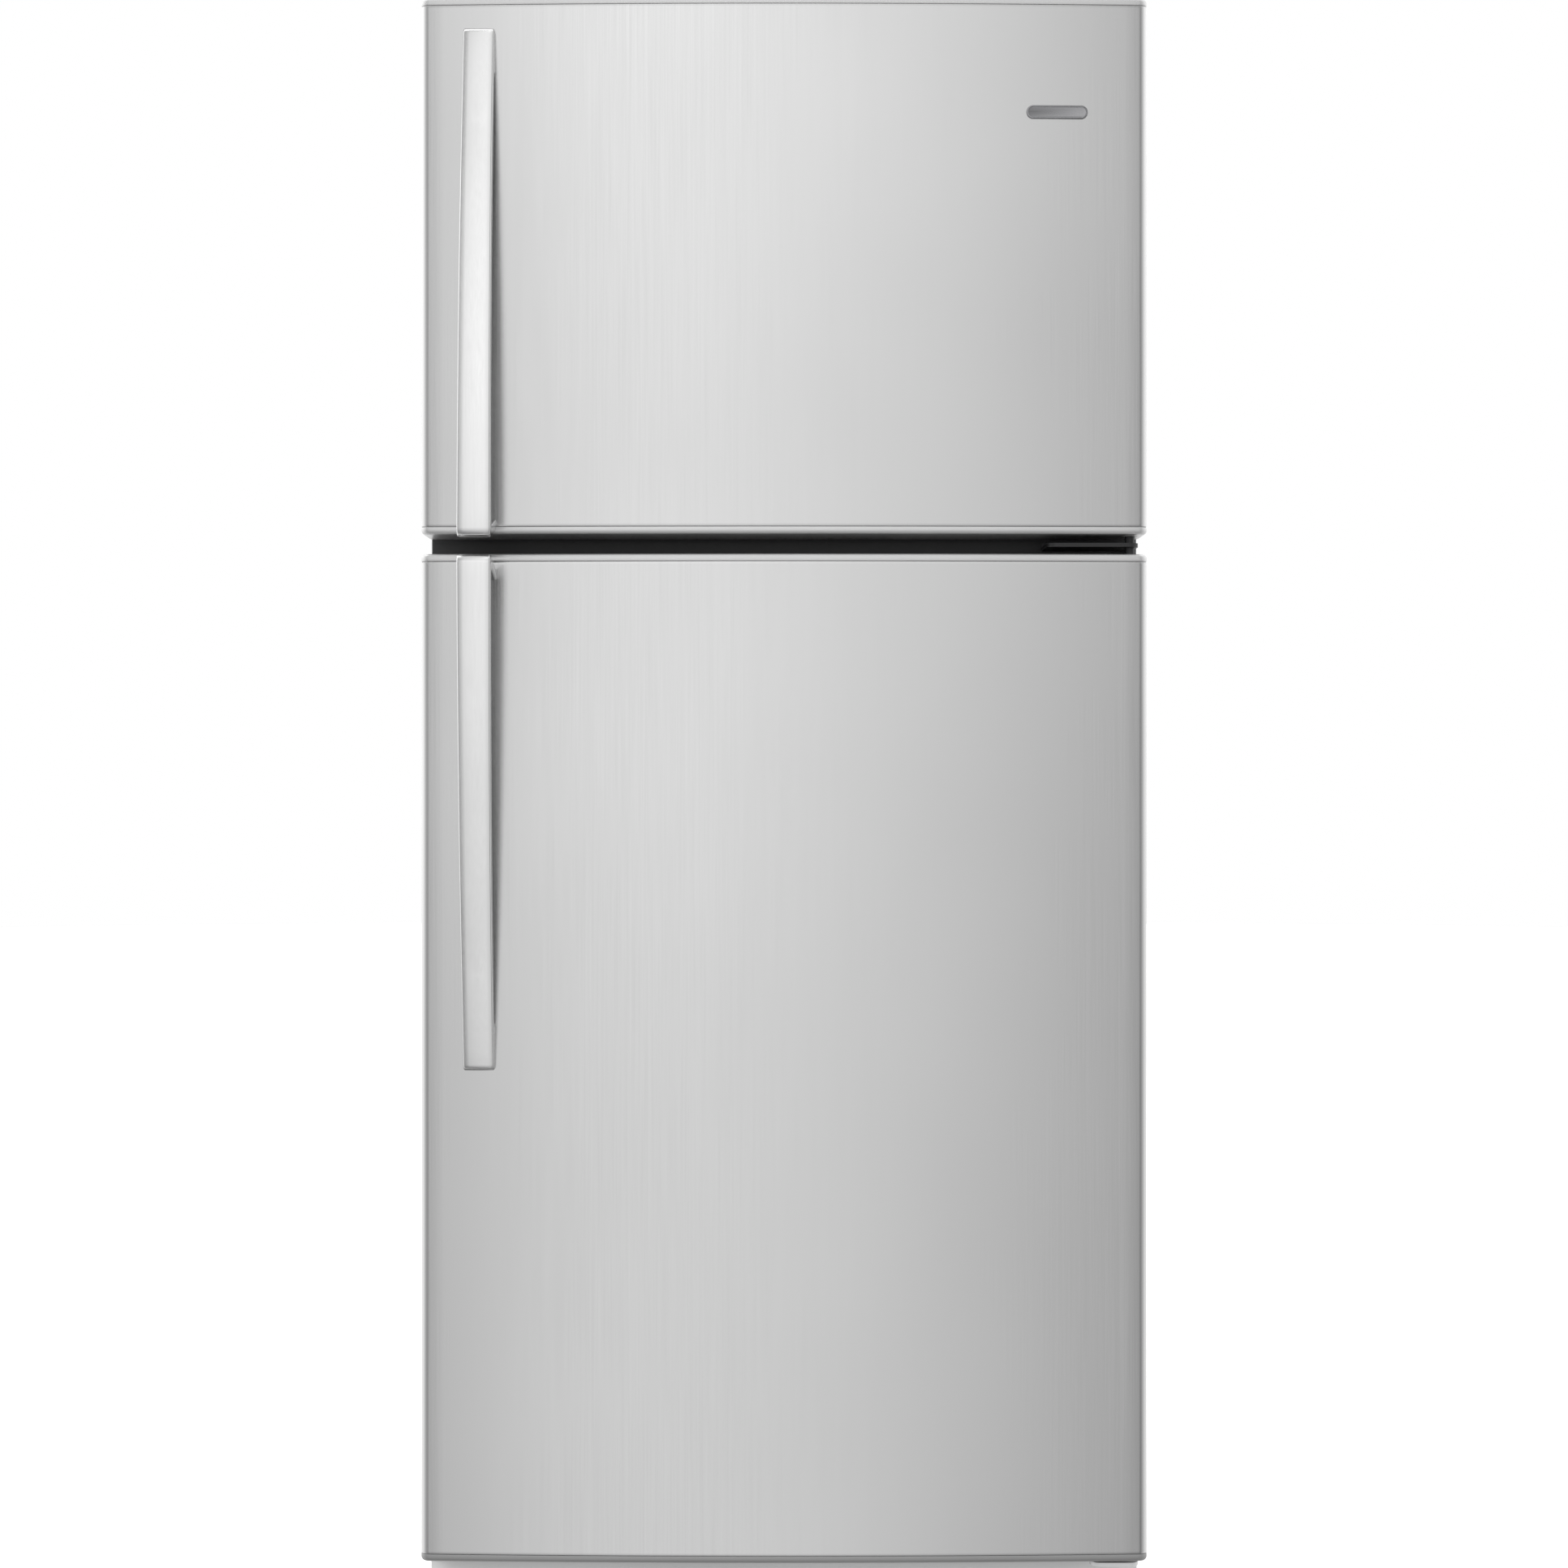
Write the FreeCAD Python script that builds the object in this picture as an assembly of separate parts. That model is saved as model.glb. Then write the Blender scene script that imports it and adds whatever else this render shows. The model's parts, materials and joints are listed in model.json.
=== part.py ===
import FreeCAD, Part
import math
import os

# Two-door refrigerator with the freezer above the fresh-food compartment.
# Millimetres. X to the right, Y to the rear, Z up, seen from the front.
# The origin is on the floor, at the middle of the width and of the depth.

Vec = FreeCAD.Vector

# ---------------------------------------------------------------- overall
WIDTH = 756.0            # across the doors
DEPTH = 845.0            # rear panel to the front of the handles
HEIGHT = 1683.0          # floor to the top of the hinge cover
CASE_DEPTH = 710.0       # cabinet without its doors
CASE_TOP = 1668.0
CASE_FOOT = 22.0         # lower edge of the cabinet sides
CASE_INSET = 3.0         # the doors overhang the cabinet by this on each side
SHEET = 1.0              # painted steel sheet
LINER = 2.0              # formed plastic liner
FLANGE = 25.0            # front flange of the steel wrapper

# ---------------------------------------------------------------- doors
DOOR_FLOOR_GAP = 45.0
DOOR_SPLIT_LOW = 1093.0  # top of the fresh-food door
DOOR_SPLIT_HIGH = 1113.0 # bottom of the freezer door
DOOR_TOP = 1671.0
GASKET_SPACE = 10.0      # between door and cabinet
DOOR_EDGE = 62.0         # thickness at the vertical edges
DOOR_CROWN = 8.0         # extra thickness at the middle of the width
DOOR_CORNER = 9.0        # radius of the vertical front edges
SKIN = 0.8               # stainless skin
SKIN_RETURN = 14.0       # skin folded in behind the door
CAP_BAND = 8.0           # part of an end cap that shows above or below the skin
CAP_PLUG = 10.0          # part of an end cap inside the skin
CAP_ROUND = 5.0
DYKE_HEIGHT = 45.0       # ridge of the door liner
DYKE_WIDTH = 35.0
GASKET_INSET = 17.0      # side of the gasket from the door's side
GASKET_END_INSET = 8.0
GASKET_WIDTH = 13.0
GASKET_CLEARANCE = 0.3

# ---------------------------------------------------------------- hinges
PIN_INSET = 16.0         # pin axis from the door's right side
PIN_SETBACK = 40.0       # pin axis in front of the door's back
PIN_RADIUS = 5.0
BUSHING_BORE = 5.1
BUSHING_RADIUS = 8.0
BUSHING_DEPTH = 12.0
PIN_REACH = 10.0         # pin inside its bushing
HINGE_PLATE = 3.0
HINGE_ARM = 4.0          # thickness of the arms that carry the pins
HINGE_RIGHT = 370.0      # outer edge of every hinge
HINGE_NOSE = 14.0        # hinge arm in front of the pin axis
HINGE_NOSE_ROUND = 10.0
TOP_HINGE_LEFT = 338.0
CENTRE_HINGE_LEFT = 274.0
BOTTOM_HINGE_LEFT = 320.0
SEAT_LENGTH = 75.0       # top hinge on the cabinet's roof
HINGE_COVER_X = (332.0, 374.0)
HINGE_COVER_WALL = 1.8

# ---------------------------------------------------------------- handles
HANDLE_X = -316.0
HANDLE_LENGTH = 534.0
HANDLE_UPPER_Z = 1103.0  # inner end of the freezer handle
HANDLE_LOWER_Z = 1090.5  # inner end of the fresh-food handle
HANDLE_WIDE = 34.5       # width at the inner end
HANDLE_NARROW = 31.6     # width at the outer end
HANDLE_THICK = 12.0
HANDLE_END_RISE = 13.0   # front of the strap above the door edge at the outer end
HANDLE_FOOT = 46.0       # length of strap that lies on the door at the outer end
LEG_SLOPE = 14.0         # the inner leg leans by this much towards the door's middle
STUD_RADIUS = 3.0

# ---------------------------------------------------------------- compartments
FRESH_HALF = 328.0
FRESH_FLOOR = 112.0
FRESH_CEILING = 1070.0
FRESH_BACK = 650.0       # from the cabinet front
FREEZER_HALF = 315.0
FREEZER_FLOOR = 1136.0
FREEZER_CEILING = 1608.0
FREEZER_BACK = 640.0
EVAPORATOR_COVER_BACK = 560.0
STEP_FRONT = 405.0       # the floor steps up over the machine compartment here
STEP_TOP = 350.0
MACHINE_DEEP = 258.0
MACHINE_CEILING = 292.0
DECK_Z = 53.0            # underside of the floor foam
RAIL_TOP = 77.0          # top of the lower steel front rail
SHELF_HEIGHTS = (620.0, 820.0)
CRISPER_COVER_Z = 352.0
SHELF_FRAME = 12.0
SHELF_GLASS = 4.0
FREEZER_SHELF_Z = 1372.0
LEDGE = 10.0

# ---------------------------------------------------------------- base
BASE_PAN_Z = 26.0
ROLLER_RADIUS = 12.0
ROLLER_WIDTH = 20.0
ROLLER_X = 335.0
ROLLER_Y = 385.0
AXLE_RADIUS = 2.5
LEG_X = 325.0
LEG_Y = -245.0
LEG_STUD = 5.0
LEG_FOOT_RADIUS = 15.0
GRILLE_TOP = 43.0
GRILLE_FOOT = 6.0
GRILLE_HALF = 374.0
GRILLE_WALL = 2.5
GRILLE_SETBACK = (12.5, 1.5)   # front and back of the grille ahead of the cabinet
GRILLE_SLOT_X = (-300.0, 260.0, 9)
GRILLE_SLOT_ROWS = (12.0, 35.0)
GRILLE_SLOT_LENGTH = 54.0
GRILLE_SLOT_HEIGHT = 4.5
GRILLE_NOTCH_X = 316.0   # the bottom hinge stands to the right of here
GRILLE_NOTCH_Z = 33.0
CHANNEL_WIDE = 22.0      # side channels of the base frame
CHANNEL_LOW = 26.0
CHANNEL_HIGH = 46.0
BEAM_DEEP = 26.0
BEAM_HIGH = 44.0
LEG_PLATE = 24.0         # half width of the plate each leg screws into
LEG_PLATE_DEEP = 36.0
BRACKET_HALF = 12.0      # half length of a roller bracket

# ---------------------------------------------------------------- derived stations
HALF = WIDTH / 2
CASE_HALF = HALF - CASE_INSET
Y_REAR = DEPTH / 2
Y_CASE = Y_REAR - CASE_DEPTH
Y_DOOR_BACK = Y_CASE - GASKET_SPACE
Y_DOOR_EDGE = Y_DOOR_BACK - DOOR_EDGE
HANDLE_REACH = DEPTH / 2 + Y_DOOR_EDGE
PIN_X = HALF - PIN_INSET
PIN_Y = Y_DOOR_BACK - PIN_SETBACK
FOAM_HALF = CASE_HALF - SHEET
FOAM_REAR = Y_REAR - SHEET
FOAM_FRONT = Y_CASE + LINER
FLANGE_X = CASE_HALF - FLANGE
MACHINE_FRONT = Y_REAR - MACHINE_DEEP
MULLION_LOW = FRESH_CEILING + LINER
MULLION_HIGH = FREEZER_FLOOR - LINER
FREEZER_Y_BACK = Y_CASE + FREEZER_BACK
FRESH_Y_BACK = Y_CASE + FRESH_BACK
COVER_Y = Y_CASE + EVAPORATOR_COVER_BACK
GRILLE_FRONT = Y_CASE - GRILLE_SETBACK[0]
GRILLE_BACK = Y_CASE - GRILLE_SETBACK[1]


# ---------------------------------------------------------------- helpers
def box(x0, x1, y0, y1, z0, z1):
    """Block between two corners."""
    return Part.makeBox(x1 - x0, y1 - y0, z1 - z0, Vec(x0, y0, z0))


def rod(radius, start, end):
    """Round bar between two points."""
    way = end - start
    return Part.makeCylinder(radius, way.Length, start, way)


def soft_box(corners, upright=0.0, lower=0.0):
    """Block with rounded upright edges, and rounded edges around its underside."""
    shape = box(*corners)
    low = corners[4]
    if upright:
        edges = [e for e in shape.Edges if abs(e.tangentAt(e.FirstParameter).z) > 0.9]
        shape = shape.makeFillet(upright, edges)
    if lower:
        edges = [e for e in shape.Edges if e.BoundBox.ZMax < low + 0.01]
        shape = shape.makeFillet(lower, edges)
    return shape


def open_bin(corners, wall, upright=8.0, lower=5.0):
    """Open-topped bin of even wall thickness."""
    x0, x1, y0, y1, z0, z1 = corners
    outer = soft_box(corners, upright, lower)
    inner = soft_box((x0 + wall, x1 - wall, y0 + wall, y1 - wall, z0 + wall, z1 + 20.0),
                     upright - wall, lower - wall)
    return outer.cut(inner)


def frame_ring(outer, inner):
    """Rectangular ring: outer block less an inner block that goes right through it."""
    return box(*outer).cut(box(*inner))


def group(shapes):
    """Several separate solids as one node."""
    return Part.makeCompound(shapes)


def mirrored(shape):
    """The same shape on the other side of the middle plane."""
    return shape.mirror(Vec(0, 0, 0), Vec(1, 0, 0))


def chain(start, steps):
    """Closed wire: a step of one point is a line, a step of two is an arc through the first."""
    edges = []
    here = start
    for step in steps:
        if len(step) == 1:
            edges.append(Part.LineSegment(here, step[0]).toShape())
        else:
            edges.append(Part.Arc(here, step[0], step[1]).toShape())
        here = step[-1]
    return Part.Wire(edges)


def corner_arc(before, corner, after, radius):
    """Start, middle and end of the arc that rounds a corner between two straight runs."""
    back = (before - corner).normalize()
    ahead = (after - corner).normalize()
    half_angle = back.getAngle(ahead) / 2
    setback = radius / math.tan(half_angle)
    centre = corner + (back + ahead).normalize() * (radius / math.sin(half_angle))
    middle = centre + (corner - centre).normalize() * radius
    return corner + back * setback, middle, corner + ahead * setback


def tube(points, radius, bend):
    """Round tube along straight runs that are joined by tangent arcs."""
    edges = []
    here = points[0]
    for before, corner, after in zip(points, points[1:], points[2:]):
        start, middle, end = corner_arc(before, corner, after, bend)
        if (start - here).Length > 0.001:
            edges.append(Part.LineSegment(here, start).toShape())
        edges.append(Part.Arc(start, middle, end).toShape())
        here = end
    edges.append(Part.LineSegment(here, points[-1]).toShape())
    path = Part.Wire(edges)
    ring = Part.makeCircle(radius, points[0], points[1] - points[0])
    return path.makePipeShell([Part.Wire(ring)], True, False)


def serpentine(start, run, step, passes):
    """Corner points of a coil that goes to and fro along run and moves on by step."""
    points = [start]
    for index in range(passes):
        towards = run if index % 2 == 0 else run * -1
        points.append(points[-1] + towards)
        if index < passes - 1:
            points.append(points[-1] + step)
    return points


def turned(shape, axis, place):
    """Shape made about +Z at the origin, turned so that +Z becomes axis, and moved to place."""
    copy = shape.copy()
    copy.Placement = FreeCAD.Placement(place, FreeCAD.Rotation(Vec(0, 0, 1), axis))
    return copy


def slots(x_centres, y0, y1, z_centres, length, height):
    """Grid of round-ended slots that are long in X, to be cut out of an upright panel."""
    cutters = []
    half = (length - height) / 2
    for x in x_centres:
        for z in z_centres:
            cutters.append(box(x - half, x + half, y0, y1, z - height / 2, z + height / 2))
            for end in (x - half, x + half):
                cutters.append(rod(height / 2, Vec(end, y0, z), Vec(end, y1, z)))
    return cutters


def spread(low, high, count):
    """Evenly spaced values from low to high."""
    pitch = (high - low) / (count - 1)
    return [low + pitch * index for index in range(count)]


# ---------------------------------------------------------------- doors
def door_plan(inset, y_back):
    """Plan of a door: flat sides, rounded front corners and a slightly crowned front."""
    half = HALF - inset
    corner = DOOR_CORNER - inset
    front = Y_DOOR_EDGE + inset
    apex = front - DOOR_CROWN
    side_end = front + corner
    diagonal = corner * math.sqrt(0.5)
    wire = chain(Vec(half, y_back, 0), [
        [Vec(half, side_end, 0)],
        [Vec(half - corner + diagonal, side_end - diagonal, 0), Vec(half - corner, front, 0)],
        [Vec(0, apex, 0), Vec(corner - half, front, 0)],
        [Vec(corner - half - diagonal, side_end - diagonal, 0), Vec(-half, side_end, 0)],
        [Vec(-half, y_back, 0)],
        [Vec(half, y_back, 0)],
    ])
    return Part.Face(wire)


def door_block(inset, y_back, z0, z1):
    """Solid of the door plan between two heights."""
    face = door_plan(inset, y_back)
    face.translate(Vec(0, 0, z0))
    return face.extrude(Vec(0, 0, z1 - z0))


def door_skin(z0, z1):
    """Stainless sheet: front, both sides and a narrow return behind the door."""
    low = z0 + CAP_BAND
    high = z1 - CAP_BAND
    skin = door_block(0, Y_DOOR_BACK, low, high)
    skin = skin.cut(door_block(SKIN, Y_DOOR_BACK + SKIN, low, high))
    for side in (-1, 1):
        edges = sorted((side * (HALF - SKIN_RETURN), side * (HALF - SKIN / 2)))
        skin = skin.fuse(box(edges[0], edges[1], Y_DOOR_BACK - SKIN, Y_DOOR_BACK, low, high))
    return skin.removeSplitter()


def door_cap(z0, z1, outward):
    """Moulded end cap with a rounded rim and a plug that fits inside the skin."""
    face_z = z1 if outward > 0 else z0
    inner_z = face_z - outward * CAP_BAND
    band = door_block(0, Y_DOOR_BACK, min(face_z, inner_z), max(face_z, inner_z))
    rim = [e for e in band.Edges
           if abs(e.BoundBox.ZMax - face_z) < 0.01 and abs(e.BoundBox.ZMin - face_z) < 0.01
           and e.BoundBox.YMin < Y_DOOR_BACK - 1]
    band = band.makeFillet(CAP_ROUND, rim)
    plug_z = inner_z - outward * CAP_PLUG
    plug = door_block(SKIN, Y_DOOR_BACK - LINER, min(plug_z, inner_z), max(plug_z, inner_z))
    return band.fuse(plug).removeSplitter()


def bushing(face_z, outward):
    """Plastic hinge bushing, flush with the outer face of an end cap."""
    start = Vec(PIN_X, PIN_Y, face_z)
    end = Vec(PIN_X, PIN_Y, face_z - outward * BUSHING_DEPTH)
    return rod(BUSHING_RADIUS, start, end).cut(rod(BUSHING_BORE, start, end))


def dyke_rectangle(half, z0, z1, inset, y0, y1):
    """Block inside the door liner's ridge, drawn in from its outer rectangle by inset."""
    return box(inset - half, half - inset, y0, y1, z0 + inset, z1 - inset)


def door_liner(z0, z1, half, dyke_low, dyke_high):
    """Formed plastic liner: a flat sheet with a raised ridge around the bins."""
    low = z0 + CAP_BAND + CAP_PLUG
    high = z1 - CAP_BAND - CAP_PLUG
    sheet_front = Y_DOOR_BACK - LINER
    tip = Y_DOOR_BACK + DYKE_HEIGHT
    edge = HALF - SKIN_RETURN
    sheet = box(-edge, edge, sheet_front, Y_DOOR_BACK, low, high)
    ridge = dyke_rectangle(half, dyke_low, dyke_high, 0, sheet_front, tip)
    well = dyke_rectangle(half, dyke_low, dyke_high, DYKE_WIDTH, Y_DOOR_BACK, tip)
    hollow = dyke_rectangle(half, dyke_low, dyke_high, LINER, sheet_front, tip - LINER)
    core = dyke_rectangle(half, dyke_low, dyke_high, DYKE_WIDTH - LINER, sheet_front, tip - LINER)
    return sheet.fuse(ridge.cut(well)).cut(hollow.cut(core)).removeSplitter()


def door_foam(z0, z1, half, dyke_low, dyke_high):
    """Foam of a door: the slab behind the skin, and four bars inside the liner's ridge."""
    low = z0 + CAP_BAND + CAP_PLUG
    high = z1 - CAP_BAND - CAP_PLUG
    back = Y_DOOR_BACK - LINER
    tip = Y_DOOR_BACK + DYKE_HEIGHT - LINER
    outer = half - LINER
    inner = half - DYKE_WIDTH + LINER
    bottom = dyke_low + LINER
    top = dyke_high - LINER
    bar = DYKE_WIDTH - 2 * LINER
    slab = door_block(SKIN, back, low, high)
    bars = [
        box(-outer, -inner, back, tip, bottom, top),
        box(inner, outer, back, tip, bottom, top),
        box(-inner, inner, back, tip, bottom, bottom + bar),
        box(-inner, inner, back, tip, top - bar, top),
    ]
    return [slab] + bars


def door_gasket(z0, z1):
    """Magnetic gasket: a ring on the back of the door, just clear of the cabinet."""
    x = HALF - GASKET_INSET
    low = z0 + GASKET_END_INSET
    high = z1 - GASKET_END_INSET
    y1 = Y_CASE - GASKET_CLEARANCE
    width = GASKET_WIDTH
    return frame_ring((-x, x, Y_DOOR_BACK, y1, low, high),
                      (width - x, x - width, Y_DOOR_BACK, y1, low + width, high - width))


def handle_bow(along):
    """How far the front of a handle stands off the door edge, at a distance from its inner end."""
    drop = HANDLE_REACH - HANDLE_END_RISE
    radius = (HANDLE_LENGTH ** 2 + drop ** 2) / (2 * drop)
    return HANDLE_REACH - radius + math.sqrt(radius ** 2 - along ** 2)


def handle_side(inner_z, direction):
    """Side outline of a handle, in the plane X = 0."""
    def at(along, off):
        return Vec(0, Y_DOOR_EDGE - off, inner_z + direction * along)

    def leg(off):
        return LEG_SLOPE * (1 - off / HANDLE_REACH)

    inside = -8.0                      # the outline starts inside the door
    back_reach = HANDLE_REACH - HANDLE_THICK
    foot = HANDLE_LENGTH - HANDLE_FOOT
    middle = HANDLE_LENGTH / 2
    tip = corner_arc(at(leg(inside), inside), at(0, HANDLE_REACH), at(40, HANDLE_REACH), 9.0)
    end = corner_arc(at(HANDLE_LENGTH - 40, handle_bow(HANDLE_LENGTH - 40)),
                     at(HANDLE_LENGTH, HANDLE_END_RISE), at(HANDLE_LENGTH, inside), 8.0)
    heel = corner_arc(at(foot, inside), at(foot, handle_bow(foot) - HANDLE_THICK),
                      at(foot - 40, handle_bow(foot - 40) - HANDLE_THICK), 4.0)
    crook = corner_arc(at(60, back_reach), at(leg(back_reach) + HANDLE_THICK, back_reach),
                       at(leg(inside) + HANDLE_THICK, inside), 6.0)
    return chain(at(leg(inside), inside), [
        [tip[0]],
        [tip[1], tip[2]],
        [at(middle, handle_bow(middle)), end[0]],
        [end[1], end[2]],
        [at(HANDLE_LENGTH, inside)],
        [at(foot, inside)],
        [heel[0]],
        [heel[1], heel[2]],
        [at(middle, handle_bow(middle) - HANDLE_THICK), crook[0]],
        [crook[1], crook[2]],
        [at(leg(inside) + HANDLE_THICK, inside)],
        [at(leg(inside), inside)],
    ])


def handle_studs(inner_z, direction):
    """Two studs that hold a handle to its door."""
    studs = []
    for along in (LEG_SLOPE + HANDLE_THICK / 2, HANDLE_LENGTH - HANDLE_FOOT / 2):
        z = inner_z + direction * along
        studs.append(rod(STUD_RADIUS, Vec(HANDLE_X, Y_DOOR_EDGE + 14, z),
                         Vec(HANDLE_X, Y_DOOR_EDGE - 8, z)))
    return studs


def door_handle(inner_z, direction):
    """Bow strap handle that stands furthest off its door beside the gap between the doors."""
    side = Part.Face(handle_side(inner_z, direction))
    strap = side.extrude(Vec(HANDLE_WIDE, 0, 0))
    strap.translate(Vec(HANDLE_X - HANDLE_WIDE / 2, 0, 0))
    outer_z = inner_z + direction * HANDLE_LENGTH
    front = chain(Vec(HANDLE_X - HANDLE_WIDE / 2, -DEPTH, inner_z), [
        [Vec(HANDLE_X + HANDLE_WIDE / 2, -DEPTH, inner_z)],
        [Vec(HANDLE_X + HANDLE_NARROW / 2, -DEPTH, outer_z)],
        [Vec(HANDLE_X - HANDLE_NARROW / 2, -DEPTH, outer_z)],
        [Vec(HANDLE_X - HANDLE_WIDE / 2, -DEPTH, inner_z)],
    ])
    strap = strap.common(Part.Face(front).extrude(Vec(0, DEPTH, 0)))
    strap = strap.cut(door_block(0, Y_DOOR_BACK, 0, HEIGHT))
    for stud in handle_studs(inner_z, direction):
        strap = strap.cut(stud)
    return strap


def door_bin(half, z0, height, reach, thick=2.5):
    """Bin that spans the well of a door liner."""
    return open_bin((-half, half, Y_DOOR_BACK, Y_DOOR_BACK + reach, z0, z0 + height), thick)


def make_door(name, z0, z1, half, dyke_low, dyke_high, handle_z, direction):
    """All the nodes that both doors have."""
    studs = handle_studs(handle_z, direction)
    skin = door_skin(z0, z1)
    foam = door_foam(z0, z1, half, dyke_low, dyke_high)
    caps = [door_cap(z0, z1, -1), door_cap(z0, z1, 1)]
    bushings = [bushing(z0, -1), bushing(z1, 1)]
    sockets = [rod(BUSHING_RADIUS, Vec(PIN_X, PIN_Y, z0), Vec(PIN_X, PIN_Y, z0 + BUSHING_DEPTH)),
               rod(BUSHING_RADIUS, Vec(PIN_X, PIN_Y, z1), Vec(PIN_X, PIN_Y, z1 - BUSHING_DEPTH))]
    for stud in studs:
        skin = skin.cut(stud)
        foam[0] = foam[0].cut(stud)
    caps = [cap.cut(Part.makeCompound(sockets + studs)) for cap in caps]
    strap = door_handle(handle_z, direction)
    return {
        name + "_skin": skin,
        name + "_foam": group(foam),
        name + "_end_caps": group(caps),
        name + "_bushings": group(bushings),
        name + "_liner": door_liner(z0, z1, half, dyke_low, dyke_high),
        name + "_gasket": door_gasket(z0, z1),
        name + "_handle": group([strap] + studs),
    }


NAMEPLATE_X = 283.5
NAMEPLATE_Z = 1551.0
NAMEPLATE_LENGTH = 64.0
NAMEPLATE_HEIGHT = 14.0
FREEZER_DYKE = FREEZER_HALF - 20.0
FREEZER_DYKE_LOW = FREEZER_FLOOR + 8.0
FREEZER_DYKE_HIGH = FREEZER_CEILING - 8.0
FRESH_DYKE = FRESH_HALF - 28.0
FRESH_DYKE_LOW = FRESH_FLOOR + 8.0
FRESH_DYKE_HIGH = FRESH_CEILING - 8.0


def freezer_door_parts():
    """Freezer door, its two bins and its plain nameplate."""
    parts = make_door("freezer_door", DOOR_SPLIT_HIGH, DOOR_TOP, FREEZER_DYKE,
                      FREEZER_DYKE_LOW, FREEZER_DYKE_HIGH, HANDLE_UPPER_Z, 1)
    well = FREEZER_DYKE - DYKE_WIDTH
    parts["freezer_door_bins"] = group([door_bin(well, z, 90.0, 92.0) for z in (1185.0, 1395.0)])
    half_long = NAMEPLATE_LENGTH / 2
    half_high = NAMEPLATE_HEIGHT / 2
    plate = soft_box((-half_long, half_long, -half_high, half_high, 0, 6.0), upright=2.0)
    plate = turned(plate, Vec(0, -1, 0), Vec(NAMEPLATE_X, Y_DOOR_EDGE + 1.0, NAMEPLATE_Z))
    parts["nameplate"] = plate.cut(door_block(0, Y_DOOR_BACK, DOOR_SPLIT_HIGH, DOOR_TOP))
    return parts


DAIRY_LOW = 880.0
DAIRY_HIGH = 980.0
DAIRY_REACH = 92.0
LID_PIVOT_Y = Y_DOOR_BACK + DAIRY_REACH - 6.0
LID_PIVOT_Z = DAIRY_HIGH - 8.0
LID_PIN = 3.0


def dairy_box():
    """Closed-topped box on the door with an open front, and holes for the lid's pins."""
    well = FRESH_DYKE - DYKE_WIDTH
    y1 = Y_DOOR_BACK + DAIRY_REACH
    wall = 3.0
    shell = box(-well, 0, Y_DOOR_BACK, y1, DAIRY_LOW, DAIRY_HIGH)
    shell = shell.cut(box(wall - well, -wall, Y_DOOR_BACK + wall, y1 + wall,
                          DAIRY_LOW + wall, DAIRY_HIGH - wall))
    pin_hole = rod(LID_PIN + 0.1, Vec(-well - 1, LID_PIVOT_Y, LID_PIVOT_Z),
                   Vec(1, LID_PIVOT_Y, LID_PIVOT_Z))
    lid_room = box(wall - well, -wall, y1 - 14.0, y1, DAIRY_HIGH - wall - 1, DAIRY_HIGH)
    return shell.cut(pin_hole).cut(lid_room)


def dairy_lid():
    """Flap across the front of the dairy box, on two pins beside its upper edge."""
    well = FRESH_DYKE - DYKE_WIDTH
    gap = 0.6
    x0 = 3.0 + gap - well
    x1 = -3.0 - gap
    front = box(x0, x1, LID_PIVOT_Y + 1.5, LID_PIVOT_Y + 4.5, DAIRY_LOW + 3.0 + gap, LID_PIVOT_Z)
    knuckle = rod(4.4, Vec(x0, LID_PIVOT_Y, LID_PIVOT_Z), Vec(x1, LID_PIVOT_Y, LID_PIVOT_Z))
    pins = rod(LID_PIN, Vec(-well + 0.4, LID_PIVOT_Y, LID_PIVOT_Z),
               Vec(-0.4, LID_PIVOT_Y, LID_PIVOT_Z))
    pull = box(-well / 2 - 30, -well / 2 + 30, LID_PIVOT_Y + 4.5, LID_PIVOT_Y + 10.5,
               DAIRY_LOW + 6.0, DAIRY_LOW + 9.0)
    return front.fuse([knuckle, pins, pull]).removeSplitter()


def fresh_door_parts():
    """Fresh-food door, its three full bins, its half bin and its dairy box."""
    parts = make_door("fridge_door", DOOR_FLOOR_GAP, DOOR_SPLIT_LOW, FRESH_DYKE,
                      FRESH_DYKE_LOW, FRESH_DYKE_HIGH, HANDLE_LOWER_Z, -1)
    well = FRESH_DYKE - DYKE_WIDTH
    bins = [door_bin(well, z, 105.0, 100.0) for z in (165.0, 420.0, 650.0)]
    half_bin = open_bin((1.0, well, Y_DOOR_BACK, Y_DOOR_BACK + DAIRY_REACH,
                         DAIRY_LOW, DAIRY_LOW + 60.0), 2.5)
    parts["fridge_door_bins"] = group(bins + [half_bin, dairy_box()])
    return parts


# ---------------------------------------------------------------- cabinet
def outer_wrapper():
    """Painted steel: two sides and the top in one piece, front flanges and a lower rail."""
    outer = box(-CASE_HALF, CASE_HALF, Y_CASE, Y_REAR, CASE_FOOT, CASE_TOP)
    inner = box(-FOAM_HALF, FOAM_HALF, Y_CASE - 1, Y_REAR + 1, CASE_FOOT - 1, CASE_TOP - SHEET)
    fold = 5.0

    def top_edges(shape, height):
        return [e for e in shape.Edges
                if e.BoundBox.YLength > CASE_DEPTH / 2 and e.BoundBox.ZMin > height - 0.01]

    outer = outer.makeFillet(fold, top_edges(outer, CASE_TOP))
    inner = inner.makeFillet(fold - SHEET, top_edges(inner, CASE_TOP - SHEET))
    face = box(-CASE_HALF, CASE_HALF, Y_CASE, Y_CASE + SHEET, DOOR_FLOOR_GAP, CASE_TOP).common(outer)
    face = face.cut(box(-FLANGE_X, FLANGE_X, Y_CASE - 1, Y_CASE + 2, RAIL_TOP, CASE_TOP - FLANGE))
    return outer.cut(inner).fuse(face).removeSplitter()


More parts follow.
